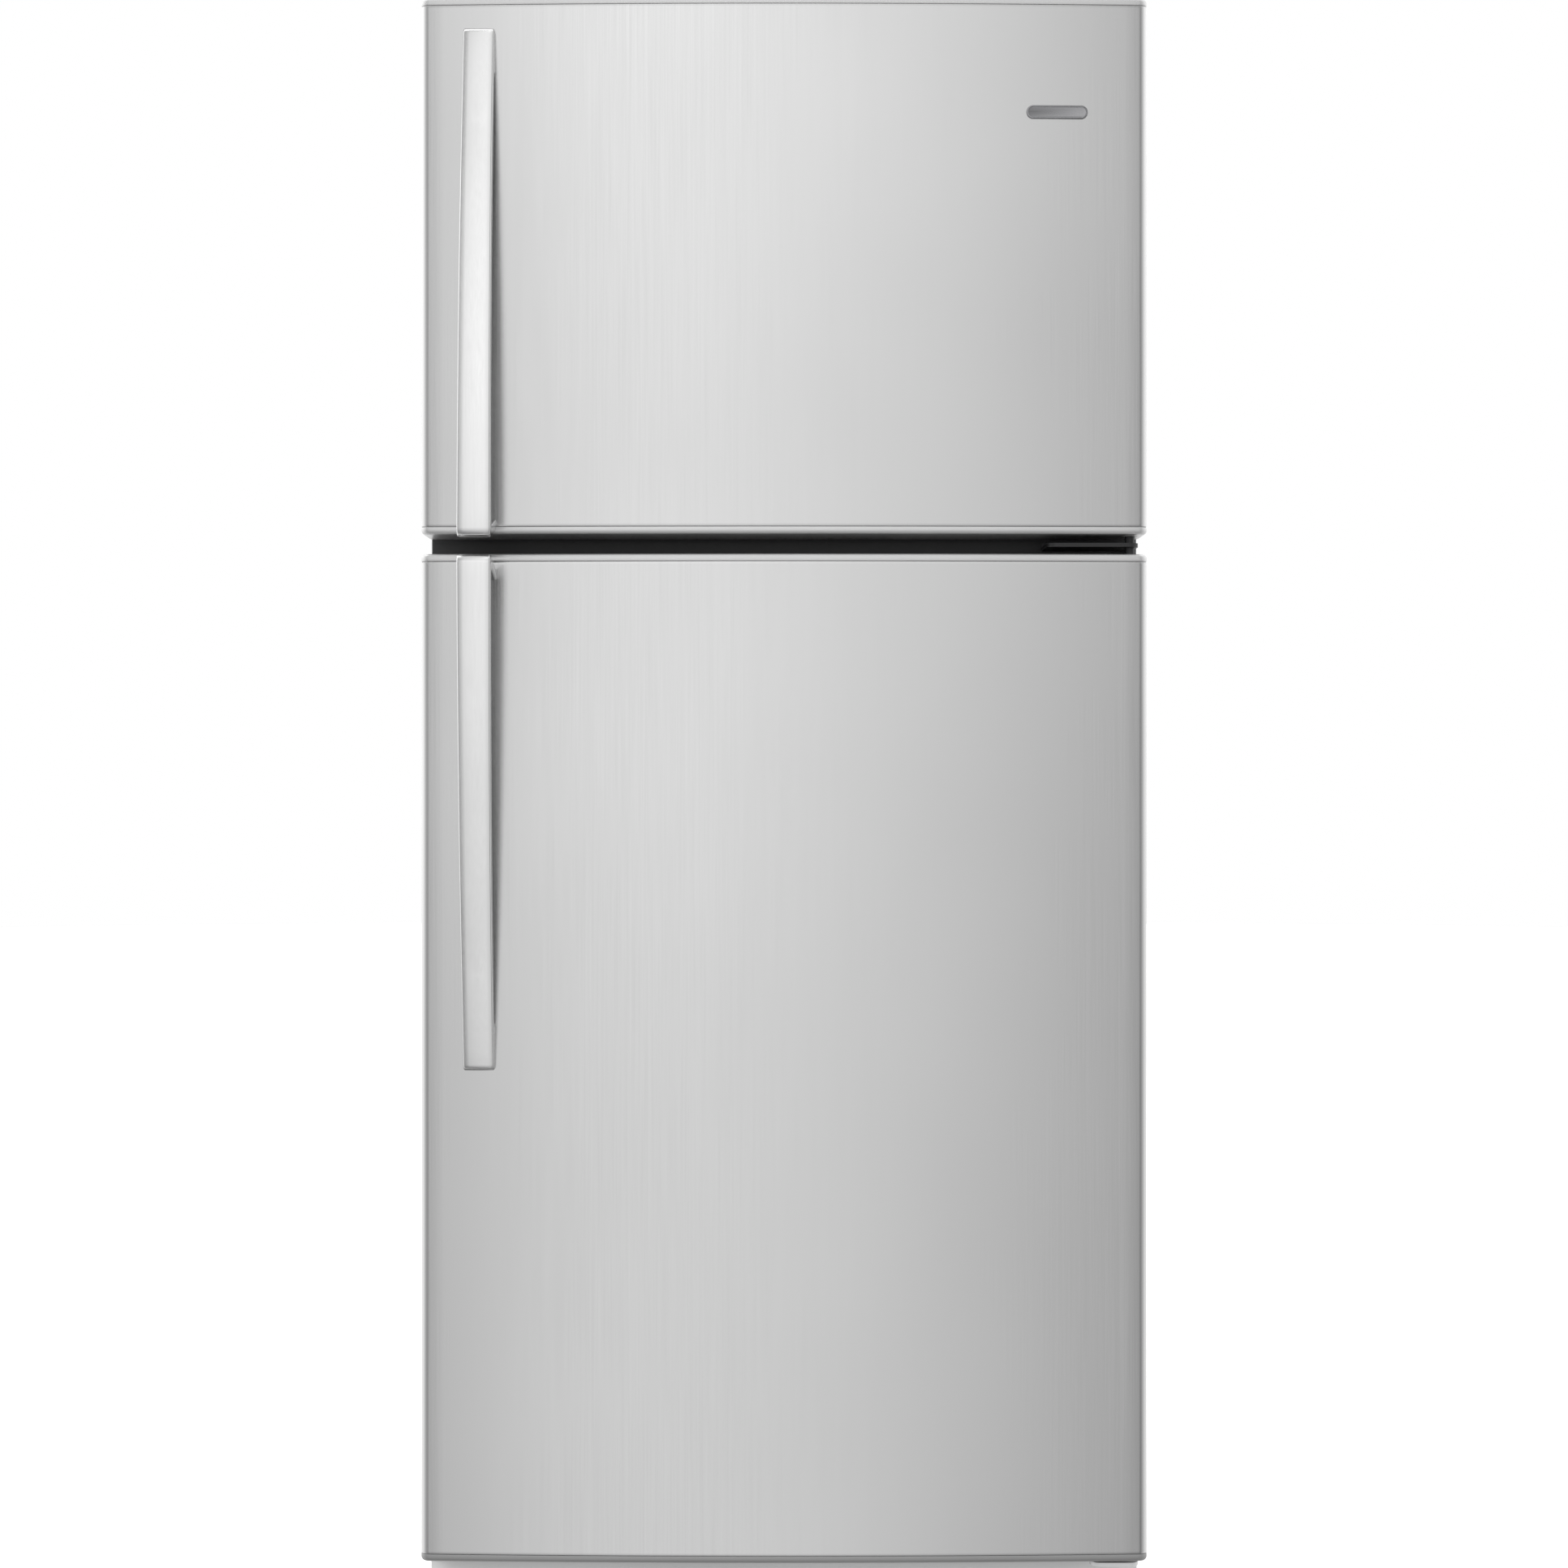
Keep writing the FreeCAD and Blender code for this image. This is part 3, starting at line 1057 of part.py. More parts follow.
def shelf_parts():
    """Two glass shelves, and the crisper cover with its two humidity slides."""
    panes = []
    frames = []
    for height in SHELF_HEIGHTS:
        pane, frame = shelf(height, SHELF_FRONT, SHELF_BACK)
        panes.append(pane)
        frames.append(frame)
    pane, cover = shelf(CRISPER_COVER_Z, SHELF_FRONT, CRISPER_COVER_BACK)
    panes.append(pane)
    mid_z = CRISPER_COVER_Z - SHELF_FRAME / 2
    parts = {}
    for side, word in ((-1, "left"), (1, "right")):
        x = side * SLIDER_X
        half_slot = SLIDER_TRAVEL + 6.0
        cover = cover.cut(box(x - half_slot, x + half_slot, SHELF_FRONT - 1, SHELF_FRONT + 5,
                              mid_z - 1.7, mid_z + 1.7))
        knob = box(x - SLIDER_HALF, x + SLIDER_HALF, SHELF_FRONT - 5, SHELF_FRONT - 0.3, mid_z - 4, mid_z + 4)
        tongue = box(x - 5, x + 5, SHELF_FRONT - 0.5, SHELF_FRONT + 4, mid_z - 1.4, mid_z + 1.4)
        parts["humidity_slide_" + word] = knob.fuse(tongue).removeSplitter()
    frames.append(cover)
    parts["shelf_glass"] = group(panes)
    parts["shelf_frames"] = group(frames)
    return parts


CRISPER_FRONT = -148.0
CRISPER_BACK = 108.0
CRISPER_LIP = 12.0


def crisper():
    """Right-hand vegetable drawer with a finger lip along its front edge."""
    wall = 2.5
    upright_round = 12.0
    lower_round = 8.0
    inner_side = 5.0
    outer_side = FRESH_HALF - 6.0
    low = FRESH_FLOOR + 0.6
    high = CRISPER_COVER_Z - SHELF_FRAME - 7.0
    drawer = open_bin((inner_side, outer_side, CRISPER_FRONT, CRISPER_BACK, low, high), wall,
                      upright_round, lower_round)
    lip_left = inner_side + 15.0
    lip_right = outer_side - 15.0
    lip_front = CRISPER_FRONT - CRISPER_LIP
    lip = box(lip_left, lip_right, lip_front, CRISPER_FRONT + 1, high - 4, high)
    curl = box(lip_left, lip_right, lip_front, lip_front + 3, high - 16, high)
    return drawer.fuse([lip, curl]).removeSplitter()


HOUSING_FRONT = -170.0
HOUSING_LOW = 1034.0
KNOB_X = 70.0
KNOB_Z = 1052.0
KNOB_RADIUS = 14.0
KNOB_SHAFT = 3.0


def control_housing():
    """Control box on the compartment's ceiling, with shafts for its two knobs."""
    housing = soft_box((-150, 150, HOUSING_FRONT, -20, HOUSING_LOW, FRESH_CEILING), 8.0, 5.0)
    for side in (-1, 1):
        housing = housing.cut(rod(KNOB_SHAFT + 0.08, Vec(side * KNOB_X, HOUSING_FRONT - 1, KNOB_Z),
                                  Vec(side * KNOB_X, HOUSING_FRONT + 14, KNOB_Z)))
    return housing


def control_knob(x):
    """Temperature knob: a skirt with a raised grip, on a shaft."""
    face = Vec(x, HOUSING_FRONT - 0.4, KNOB_Z)
    out = Vec(0, -1, 0)
    skirt = Part.makeCylinder(KNOB_RADIUS, 4, face, out)
    grip = box(x - 3, x + 3, HOUSING_FRONT - 13, HOUSING_FRONT - 4, KNOB_Z - 12, KNOB_Z + 12)
    shaft = Part.makeCylinder(KNOB_SHAFT, 12.4, Vec(x, HOUSING_FRONT + 12, KNOB_Z), out)
    return skirt.fuse([grip, shaft]).removeSplitter()


def lamp_lens():
    """Clear lens over the lamp on the compartment's ceiling."""
    return soft_box((-95, 95, -12, 58, FRESH_CEILING - 16, FRESH_CEILING), 10.0, 6.0)


def air_duct():
    """Cold-air duct cover on the rear wall, with pairs of outlets."""
    wall = 3.0
    half = 60.0
    low = 420.0
    high = FRESH_CEILING - 1
    front = FRESH_Y_BACK - 14.0
    duct = box(-half, half, front, FRESH_Y_BACK, low, high)
    hollow = box(wall - half, half - wall, front + wall, FRESH_Y_BACK, low + wall, high - wall)
    heights = [z + gap for z in (520.0, 720.0, 920.0) for gap in (0.0, 14.0)]
    outlets = slots((-28.0, 28.0), front - 1, front + wall + 1, heights, 38.0, 7.0)
    return duct.cut(hollow).cut(outlets)


SWITCH_X = 250.0
SWITCH_Z = 1055.0
SWITCH_FRONT = -240.0
PLUNGER_RADIUS = 4.0
PLUNGER_TIP = Y_DOOR_BACK + DYKE_HEIGHT + 0.3


def light_switch():
    """Lamp switch on the ceiling beside the door, with the bore for its plunger."""
    case = box(SWITCH_X - 13, SWITCH_X + 13, SWITCH_FRONT, SWITCH_FRONT + 36, SWITCH_Z - 10, FRESH_CEILING)
    return case.cut(rod(PLUNGER_RADIUS + 0.08, Vec(SWITCH_X, SWITCH_FRONT - 1, SWITCH_Z),
                        Vec(SWITCH_X, SWITCH_FRONT + 22, SWITCH_Z)))


def switch_plunger():
    """Plunger that the door's ridge holds pressed while the door is shut."""
    return rod(PLUNGER_RADIUS, Vec(SWITCH_X, PLUNGER_TIP, SWITCH_Z),
               Vec(SWITCH_X, SWITCH_FRONT + 18, SWITCH_Z))


def interior_parts():
    """Pieces inside both compartments and behind the evaporator cover."""
    fan = fan_wheel(46, 13, EVAPORATOR_FAN_WIDTH, 5, SHAFT + 0.05)
    fan_place = EVAPORATOR_FAN + Vec(0, -FAN_GAP, 0)
    left = mirrored(crisper())
    return {
        "evaporator_coil": evaporator_coil(),
        "evaporator_fan_motor": evaporator_fan_motor(),
        "evaporator_fan": turned(fan, Vec(0, -1, 0), fan_place),
        "evaporator_cover": evaporator_cover(),
        "freezer_shelf": freezer_shelf(),
        "crisper_right": crisper(),
        "crisper_left": left,
        "control_housing": control_housing(),
        "freezer_knob": control_knob(-KNOB_X),
        "fridge_knob": control_knob(KNOB_X),
        "lamp_lens": lamp_lens(),
        "air_duct": air_duct(),
        "light_switch": light_switch(),
        "light_switch_plunger": switch_plunger(),
        "dairy_lid": dairy_lid(),
    }


def machine_parts():
    """Pieces in the machine compartment."""
    fan = fan_wheel(62, 16, CONDENSER_FAN_WIDTH, 4, SHAFT + 0.05)
    fan_place = CONDENSER_FAN + Vec(FAN_GAP, 0, 0)
    return {
        "compressor": compressor(),
        "compressor_grommets": compressor_grommets(),
        "condenser_coil": condenser_coil(),
        "condenser_fan_motor": condenser_fan_motor(),
        "condenser_fan": turned(fan, Vec(1, 0, 0), fan_place),
        "drain_pan": drain_pan(),
        "machine_cover": machine_cover(),
        "cord_gland": cord_gland(),
    }


def cabinet_parts():
    """Shell, foam, liners and front strip of the cabinet."""
    return {
        "outer_wrapper": outer_wrapper(),
        "rear_panel": rear_panel(),
        "cabinet_insulation": cabinet_insulation(),
        "freezer_liner": freezer_liner(),
        "fresh_food_liner": fresh_food_liner(),
        "mullion_rail": mullion_rail(),
        "base_grille": base_grille(),
    }


def main():
    """Write one file for each node."""
    os.makedirs("parts", exist_ok=True)
    nodes = {}
    for maker in (cabinet_parts, base_parts, hinge_parts, machine_parts, interior_parts,
                  shelf_parts, freezer_door_parts, fresh_door_parts):
        nodes.update(maker())
    for name, shape in nodes.items():
        shape.exportStep("parts/" + name + ".step")
        box_of = shape.BoundBox
        print("%-24s %2d solids  x %.1f %.1f  y %.1f %.1f  z %.1f %.1f" % (
            name, len(shape.Solids), box_of.XMin, box_of.XMax, box_of.YMin, box_of.YMax,
            box_of.ZMin, box_of.ZMax))
    print(len(nodes), "nodes")


main()
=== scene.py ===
"""Looks of a top freezer refrigerator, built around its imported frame. Metres, Z up, front towards -Y."""
import json
import math

import bmesh
import bpy
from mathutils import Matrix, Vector


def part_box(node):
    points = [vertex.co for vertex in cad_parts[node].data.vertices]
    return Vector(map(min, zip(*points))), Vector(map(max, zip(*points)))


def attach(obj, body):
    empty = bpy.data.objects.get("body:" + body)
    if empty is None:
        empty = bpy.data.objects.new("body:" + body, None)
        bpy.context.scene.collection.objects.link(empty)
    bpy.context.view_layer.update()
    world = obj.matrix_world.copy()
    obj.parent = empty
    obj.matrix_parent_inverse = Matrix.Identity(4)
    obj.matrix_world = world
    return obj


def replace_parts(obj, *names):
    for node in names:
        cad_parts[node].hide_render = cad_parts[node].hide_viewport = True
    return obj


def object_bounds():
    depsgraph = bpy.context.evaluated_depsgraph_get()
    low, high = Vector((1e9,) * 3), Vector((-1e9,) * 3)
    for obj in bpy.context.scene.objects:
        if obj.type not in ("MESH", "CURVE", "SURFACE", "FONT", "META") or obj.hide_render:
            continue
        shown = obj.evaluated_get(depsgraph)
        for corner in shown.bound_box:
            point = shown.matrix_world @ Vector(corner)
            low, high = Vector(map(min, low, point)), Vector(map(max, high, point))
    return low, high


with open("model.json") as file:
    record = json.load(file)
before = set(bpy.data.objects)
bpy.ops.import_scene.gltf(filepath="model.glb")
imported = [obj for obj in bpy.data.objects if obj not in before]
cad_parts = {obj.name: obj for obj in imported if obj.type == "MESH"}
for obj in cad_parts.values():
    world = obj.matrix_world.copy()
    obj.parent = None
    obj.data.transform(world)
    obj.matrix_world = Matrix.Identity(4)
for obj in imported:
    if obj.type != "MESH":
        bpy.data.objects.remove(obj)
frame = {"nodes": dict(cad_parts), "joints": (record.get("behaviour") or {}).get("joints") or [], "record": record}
CAD_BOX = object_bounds()
NODES = frame["nodes"]
INSIDE = {opening["name"]: opening["box_m"] for opening in frame["record"]["physics"]["openings"]}
JOINTS = {joint["name"]: joint for joint in frame["joints"]}
MM = 0.001


# ---------- mesh helpers
def finish_mesh(name, bm, body, material, angle=35.0):
    """Turn a bmesh into a smooth-shaded piece that rides on a body."""
    bmesh.ops.recalc_face_normals(bm, faces=bm.faces)
    mesh = bpy.data.meshes.new(name)
    bm.to_mesh(mesh)
    bm.free()
    mesh.shade_smooth()
    mesh.set_sharp_from_angle(angle=math.radians(angle))
    piece = bpy.data.objects.new(name, mesh)
    bpy.context.scene.collection.objects.link(piece)
    mesh.materials.append(MATERIALS[material])
    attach(piece, body)
    return piece


def in_metres(points):
    """Points given in millimetres."""
    return [tuple(value * MM for value in point) for point in points]


def spaced(low, high, count):
    """Evenly spaced numbers from low to high."""
    return [low + (high - low) * index / (count - 1) for index in range(count)]


def quarter_turn(steps):
    """Angles of a quarter turn in even steps, both ends included."""
    return [math.pi / 2 * step / steps for step in range(steps + 1)]


def rounded_rectangle(x0, x1, y0, y1, radius, steps=5):
    """Rectangle with rounded corners, as points in order."""
    radius = max(min(radius, (x1 - x0) / 2 - 1e-5, (y1 - y0) / 2 - 1e-5), 1e-5)
    centres = ((x1 - radius, y1 - radius), (x0 + radius, y1 - radius),
               (x0 + radius, y0 + radius), (x1 - radius, y0 + radius))
    points = []
    for quarter, (cx, cy) in enumerate(centres):
        for step in range(steps + 1):
            turn = math.pi / 2 * (quarter + step / steps)
            points.append((cx + radius * math.cos(turn), cy + radius * math.sin(turn)))
    return points


def add_loft(bm, loops, close=True, ring=False):
    """Skin through loops of equally many points. close caps both ends, ring joins last to first."""
    rows = [[bm.verts.new(point) for point in loop] for loop in loops]
    pairs = list(zip(rows, rows[1:]))
    if ring:
        pairs.append((rows[-1], rows[0]))
    count = len(rows[0])
    for low, high in pairs:
        for index in range(count):
            after = (index + 1) % count
            bm.faces.new((low[index], low[after], high[after], high[index]))
    if close and not ring:
        bm.faces.new(rows[0])
        bm.faces.new(list(reversed(rows[-1])))
    return rows


def loft(name, loops, body, material, close=True, ring=False, angle=35.0):
    """One piece made by a loft."""
    bm = bmesh.new()
    add_loft(bm, loops, close, ring)
    return finish_mesh(name, bm, body, material, angle)


def offset_outline(outline, distance):
    """Closed outline moved inwards by a distance, point by point. The outline runs counter-clockwise."""
    moved = []
    count = len(outline)
    for index in range(count):
        before = Vector(outline[index - 1])
        here = Vector(outline[index])
        after = Vector(outline[(index + 1) % count])
        one = (here - before).normalized()
        two = (after - here).normalized()
        along = (one + two).normalized()
        normal = Vector((-along.y, along.x))
        lean = max(normal.dot(Vector((-one.y, one.x))), 0.5)
        moved.append(tuple(here + normal * (distance / lean)))
    return moved


def counter_clockwise(outline):
    """The outline in counter-clockwise order."""
    area = sum(a[0] * b[1] - b[0] * a[1] for a, b in zip(outline, outline[1:] + outline[:1]))
    return outline if area > 0 else list(reversed(outline))


def prism(name, outline, low, high, body, material, edge, steps):
    """Outline (y, z) swept along X from low to high with rounded end edges."""
    outline = counter_clockwise(outline)
    levels = [(low + edge - edge * math.sin(turn), edge - edge * math.cos(turn))
              for turn in reversed(quarter_turn(steps))]
    levels += [(high + low - x, inset) for x, inset in reversed(levels)]
    loops = [[(x, y, z) for y, z in offset_outline(outline, inset)] for x, inset in levels]
    return loft(name, loops, body, material)


def add_block(bm, low, high, edge, segments=3):
    """Box with rounded edges between two corners."""
    size = Vector(high) - Vector(low)
    middle = (Vector(high) + Vector(low)) / 2
    made = bmesh.ops.create_cube(bm, size=1.0)
    for vert in made["verts"]:
        vert.co = Vector((vert.co.x * size.x, vert.co.y * size.y, vert.co.z * size.z)) + middle
    edges = list({e for v in made["verts"] for e in v.link_edges})
    bmesh.ops.bevel(bm, geom=edges, offset=min(edge, min(size) * 0.45), segments=segments,
                    profile=0.5, affect="EDGES")


def blocks(name, corners, edge, body, material, segments=3):
    """One piece made of rounded boxes."""
    bm = bmesh.new()
    for low, high in corners:
        add_block(bm, low, high, edge, segments)
    return finish_mesh(name, bm, body, material)


def turned_frame(axis):
    """Rotation that takes +Z to an axis."""
    return Vector((0, 0, 1)).rotation_difference(Vector(axis)).to_matrix()


def add_lathe(bm, profile, centre, axis, steps=40):
    """Profile of (radius, height) turned about an axis through centre."""
    turn = turned_frame(axis)
    loops = []
    for radius, height in profile:
        loop = []
        for step in range(steps):
            angle = 2 * math.pi * step / steps
            point = Vector((radius * math.cos(angle), radius * math.sin(angle), height))
            loop.append(Vector(centre) + turn @ point)
        loops.append(loop)
    add_loft(bm, loops)


def lathe(name, profile, centre, axis, body, material, steps=40):
    """One turned piece."""
    bm = bmesh.new()
    add_lathe(bm, profile, centre, axis, steps)
    return finish_mesh(name, bm, body, material)


def pipe(name, points, radius, body, material, bend=0.02):
    """Bent metal pipe along a few points, with rounded corners."""
    points = [Vector(p) for p in points]
    path = [points[0]]
    for before, here, after in zip(points, points[1:], points[2:]):
        back, ahead = before - here, after - here
        reach = min(bend, back.length * 0.48, ahead.length * 0.48)
        start = here + back.normalized() * reach
        end = here + ahead.normalized() * reach
        for t in spaced(0, 1, 7):
            path.append(start * (1 - t) ** 2 + here * 2 * t * (1 - t) + end * t ** 2)
    path.append(points[-1])
    loops = []
    side = None
    for index, here in enumerate(path):
        ahead = path[min(index + 1, len(path) - 1)] - path[max(index - 1, 0)]
        ahead.normalize()
        side = side or ahead.orthogonal().normalized()
        side = (side - ahead * side.dot(ahead)).normalized()
        across = ahead.cross(side)
        loops.append([here + (side * math.cos(a) + across * math.sin(a)) * radius
                      for a in [2 * math.pi * k / 14 for k in range(14)]])
    return loft(name, loops, body, material)


# ---------- materials
MATERIALS = {}


def set_inputs(node, **values):
    """Constant values of a shader node's sockets. An underscore stands for a space."""
    for socket, value in values.items():
        node.inputs[socket.replace("_", " ")].default_value = value


class Nodes:
    """Builder of one node tree."""

    def __init__(self, tree):
        self.tree = tree

    def node(self, kind, **values):
        made = self.tree.nodes.new(kind)
        for key, value in values.items():
            setattr(made, key, value)
        return made

    def link(self, output, target):
        self.tree.links.new(output, target)


class Paint(Nodes):
    """Builder of one procedural material."""

    def __init__(self, name, slot, colour, roughness, metallic=0.0, **sockets):
        material = bpy.data.materials.new(name)
        material.use_nodes = True
        super().__init__(material.node_tree)
        self.shader = self.tree.nodes["Principled BSDF"]
        set_inputs(self.shader, Base_Color=(*colour, 1.0), Roughness=roughness, Metallic=metallic, **sockets)
        self.colour = colour
        material.diffuse_color = (*colour, 1.0)
        MATERIALS[name] = material

    def coordinates(self, stretch):
        """Object coordinates in metres, stretched."""
        place = self.node("ShaderNodeTexCoord")
        mapping = self.node("ShaderNodeMapping")
        set_inputs(mapping, Scale=stretch)
        self.link(place.outputs["Object"], mapping.inputs["Vector"])
        return mapping.outputs["Vector"]

    def noise(self, scale, stretch=(1, 1, 1), detail=4.0, roughness=0.55):
        made = self.node("ShaderNodeTexNoise")
        set_inputs(made, Scale=scale, Detail=detail, Roughness=roughness)
        self.link(self.coordinates(stretch), made.inputs["Vector"])
        return made.outputs["Fac"]

    def cells(self, scale, feature="F1", output="Distance"):
        made = self.node("ShaderNodeTexVoronoi", feature=feature)
        set_inputs(made, Scale=scale)
        self.link(self.coordinates((1, 1, 1)), made.inputs["Vector"])
        return made.outputs[output]

    def spread(self, value, low, high, start=0.3, end=0.7):
        """A texture's values from start to end, mapped from low to high."""
        made = self.node("ShaderNodeMapRange")
        set_inputs(made, From_Min=start, From_Max=end, To_Min=low, To_Max=high)
        self.link(value, made.inputs["Value"])
        return made.outputs["Result"]

    def tint(self, value, dark, light):
        """Base colour between the paint's colour times dark and times light."""
        mix = self.node("ShaderNodeMix", data_type="RGBA")
        set_inputs(mix, A=(*[c * dark for c in self.colour], 1.0),
                   B=(*[min(c * light, 1.0) for c in self.colour], 1.0))
        self.link(value, mix.inputs["Factor"])
        self.link(mix.outputs["Result"], self.shader.inputs["Base Color"])
        return self

    def rough(self, value, low, high):
        self.link(self.spread(value, low, high), self.shader.inputs["Roughness"])
        return self

    def bump(self, value, strength, distance):
        made = self.node("ShaderNodeBump")
        set_inputs(made, Strength=strength, Distance=distance)
        self.link(value, made.inputs["Height"])
        self.link(made.outputs["Normal"], self.shader.inputs["Normal"])
        return self


BRUSH_ALONG, BRUSH_ACROSS = 5.0, 900.0     # streaks to the metre along and across the grain


def brushed(name, slot, colour, roughness, grain, coarse, anisotropic):
    """Brushed steel: fine streaks along the grain, with faint broad clouds."""
    paint = Paint(name, slot, colour, roughness, 1.0, Anisotropic=anisotropic)
    across = [BRUSH_ACROSS] * 3
    across["xyz".index(grain)] = BRUSH_ALONG
    fine = paint.noise(1.0, across, 5.0, 0.7)
    clouds = paint.noise(coarse, (1, 1, 1), 2.0)
    paint.rough(fine, roughness - 0.035, roughness + 0.05)
    mix = paint.node("ShaderNodeMath", operation="MULTIPLY_ADD")
    mix.inputs[1].default_value = 0.5
    paint.link(fine, mix.inputs[0])
    half = paint.node("ShaderNodeMath", operation="MULTIPLY")
    half.inputs[1].default_value = 0.5
    paint.link(clouds, half.inputs[0])
    paint.link(half.outputs[0], mix.inputs[2])
    paint.tint(paint.spread(mix.outputs[0], 0, 1), 0.94, 1.05)
    paint.bump(fine, 0.12, 0.00006)
    tangent = paint.node("ShaderNodeTangent", direction_type="RADIAL", axis="Z")
    paint.link(tangent.outputs["Tangent"], paint.shader.inputs["Tangent"])


def moulded(name, slot, colour, roughness, grain=900.0, depth=0.00004, tone=0.05, **sockets):
    """Moulded plastic: very fine grain, faint cloudiness, slightly uneven gloss."""
    paint = Paint(name, slot, colour, roughness, **sockets)
    fine = paint.noise(grain, (1, 1, 1), 3.0)
    clouds = paint.noise(3.0, (1, 1, 1), 2.0)
    paint.tint(paint.spread(clouds, 0, 1), 1 - tone, 1 + tone * 0.6)
    paint.rough(fine, roughness - 0.04, roughness + 0.05)
    return paint.bump(fine, 0.25, depth)


def painted(name, slot, colour, roughness, pebble=420.0, depth=0.00012, metallic=0.0, **sockets):
    """Sprayed or pre-coated steel with a fine pebbled skin."""
    paint = Paint(name, slot, colour, roughness, metallic, **sockets)
    pebbles = paint.cells(pebble, feature="SMOOTH_F1")
    clouds = paint.noise(4.0, (1, 1, 1), 3.0)
    paint.tint(paint.spread(clouds, 0, 1), 0.94, 1.04)
    paint.rough(clouds, roughness - 0.05, roughness + 0.06)
    return paint.bump(pebbles, 0.35, depth)


def zinc(name, slot, colour, roughness):
    """Galvanised sheet: large crystals of slightly different tone."""
    paint = Paint(name, slot, colour, roughness, 0.85)
    crystals = paint.cells(110.0, output="Color")
    scratches = paint.noise(1.0, (30, 30, 700), 4.0)
    paint.tint(paint.spread(crystals, 0, 1, 0.0, 1.0), 0.93, 1.05)
    paint.rough(crystals, roughness - 0.05, roughness + 0.08)
    return paint.bump(scratches, 0.15, 0.00005)


def see_through(name, slot, colour, roughness, transmission, ior, **sockets):
    """Clear plastic or glass."""
    paint = Paint(name, slot, colour, roughness, Transmission_Weight=transmission, IOR=ior, **sockets)
    haze = paint.noise(18.0, (1, 1, 1), 3.0)
    paint.rough(haze, roughness, roughness + 0.05)
    paint.tint(paint.spread(haze, 0, 1), 0.97, 1.02)


def make_materials():
    """Every material of the refrigerator."""
    brushed("steel_door", "stainless_door", (0.63, 0.63, 0.63), 0.22, "z", 2.2, 0.35)
    brushed("steel_handle", "handle_steel", (0.72, 0.72, 0.72), 0.22, "z", 6.0, 0.2)
    brushed("plate_metal", "nameplate_metal", (0.34, 0.34, 0.35), 0.25, "x", 40.0, 0.3)
    painted("cap_grey", "grey_end_cap", (0.66, 0.66, 0.66), 0.36, pebble=900.0, depth=0.00003, metallic=0.75)
    # Darker copy of the cap grey: painted shade for the fridge door's bottom cap, which faces the floor.
    painted("cap_shade", "grey_end_cap", (0.33, 0.33, 0.33), 0.42, pebble=900.0, depth=0.00003, metallic=0.6)
    painted("case_paint", "cabinet_paint", (0.30, 0.305, 0.31), 0.42, Specular_IOR_Level=0.5)
    zinc("zinc_sheet", "galvanised_steel", (0.58, 0.59, 0.60), 0.45)
    moulded("white_plastic", "white_plastic", (0.80, 0.81, 0.82), 0.32, Coat_Weight=0.1, Coat_Roughness=0.25)
    moulded("white_liner", "white_liner", (0.78, 0.79, 0.795), 0.30, 420.0, 0.00008, 0.012,
            Subsurface_Weight=0.04, Subsurface_Radius=(0.004, 0.004, 0.004), Coat_Weight=0.15,
            Coat_Roughness=0.2)
    moulded("black_plastic", "black_plastic", (0.022, 0.022, 0.023), 0.5)
    moulded("grille_grey", "grille_grey", (0.84, 0.84, 0.84), 0.5)
    painted("hinge_paint", "hinge_steel", (0.022, 0.022, 0.023), 0.42, 900.0, 0.00004, metallic=0.3)
    painted("hinge_grey", "hinge_steel", (0.74, 0.74, 0.74), 0.42, 900.0, 0.00004, metallic=0.2)
    moulded("bushing_plastic", "bushing_plastic", (0.72, 0.72, 0.70), 0.38)
    moulded("gasket_rubber", "gasket_grey", (0.36, 0.36, 0.365), 0.58, 1400.0, 0.00002)
    see_through("clear_plastic", "clear_plastic", (0.95, 0.975, 0.985), 0.06, 1.0, 1.46, Alpha=0.55)
    see_through("frosted_lens", "lens_plastic", (0.97, 0.97, 0.94), 0.35, 0.7, 1.46)
    see_through("shelf_glass", "shelf_glass", (0.88, 0.97, 0.94), 0.02, 1.0, 1.5, Alpha=0.6)
    moulded("knob_plastic", "knob_plastic", (0.60, 0.61, 0.62), 0.34)
    moulded("wire_white", "wire_coating", (0.85, 0.85, 0.85), 0.22, 500.0, 0.00005)
    painted("compressor_black", "compressor_black", (0.018, 0.018, 0.019), 0.34, 500.0, 0.00006)
    painted("coil_black", "coil_black", (0.03, 0.03, 0.03), 0.4, 900.0, 0.00004)
    fins = Paint("fin_metal", "aluminium_fin", (0.80, 0.81, 0.82), 0.32, 1.0)
    fins.tint(fins.noise(60.0), 0.85, 1.05).rough(fins.noise(30.0), 0.25, 0.42)
    motor = Paint("motor_metal", "motor_steel", (0.50, 0.50, 0.51), 0.36, 0.9)
    motor.tint(motor.noise(25.0), 0.8, 1.1).rough(motor.noise(90.0), 0.28, 0.5)
    moulded("fan_plastic", "fan_plastic", (0.60, 0.60, 0.58), 0.42)
    moulded("rubber_black", "rubber_black", (0.02, 0.02, 0.02), 0.7, 700.0, 0.00008)
    board = Paint("cover_board", "cover_board", (0.10, 0.10, 0.105), 0.6)
    board.tint(board.noise(1.0, (500, 500, 120)), 0.75, 1.3).bump(board.noise(900.0), 0.3, 0.0001)
    moulded("roller_plastic", "roller_plastic", (0.06, 0.06, 0.06), 0.5)
    moulded("foot_plastic", "foot_plastic", (0.035, 0.035, 0.035), 0.5)
    foam = Paint("foam", "foam", (0.78, 0.66, 0.38), 0.9)
    foam.tint(foam.noise(40.0), 0.85, 1.1).bump(foam.cells(500.0), 0.6, 0.0006)
    copper = Paint("copper_pipe", "coil_black", (0.72, 0.35, 0.20), 0.35, 1.0)
    copper.tint(copper.noise(45.0), 0.6, 1.15).rough(copper.noise(80.0), 0.25, 0.5)


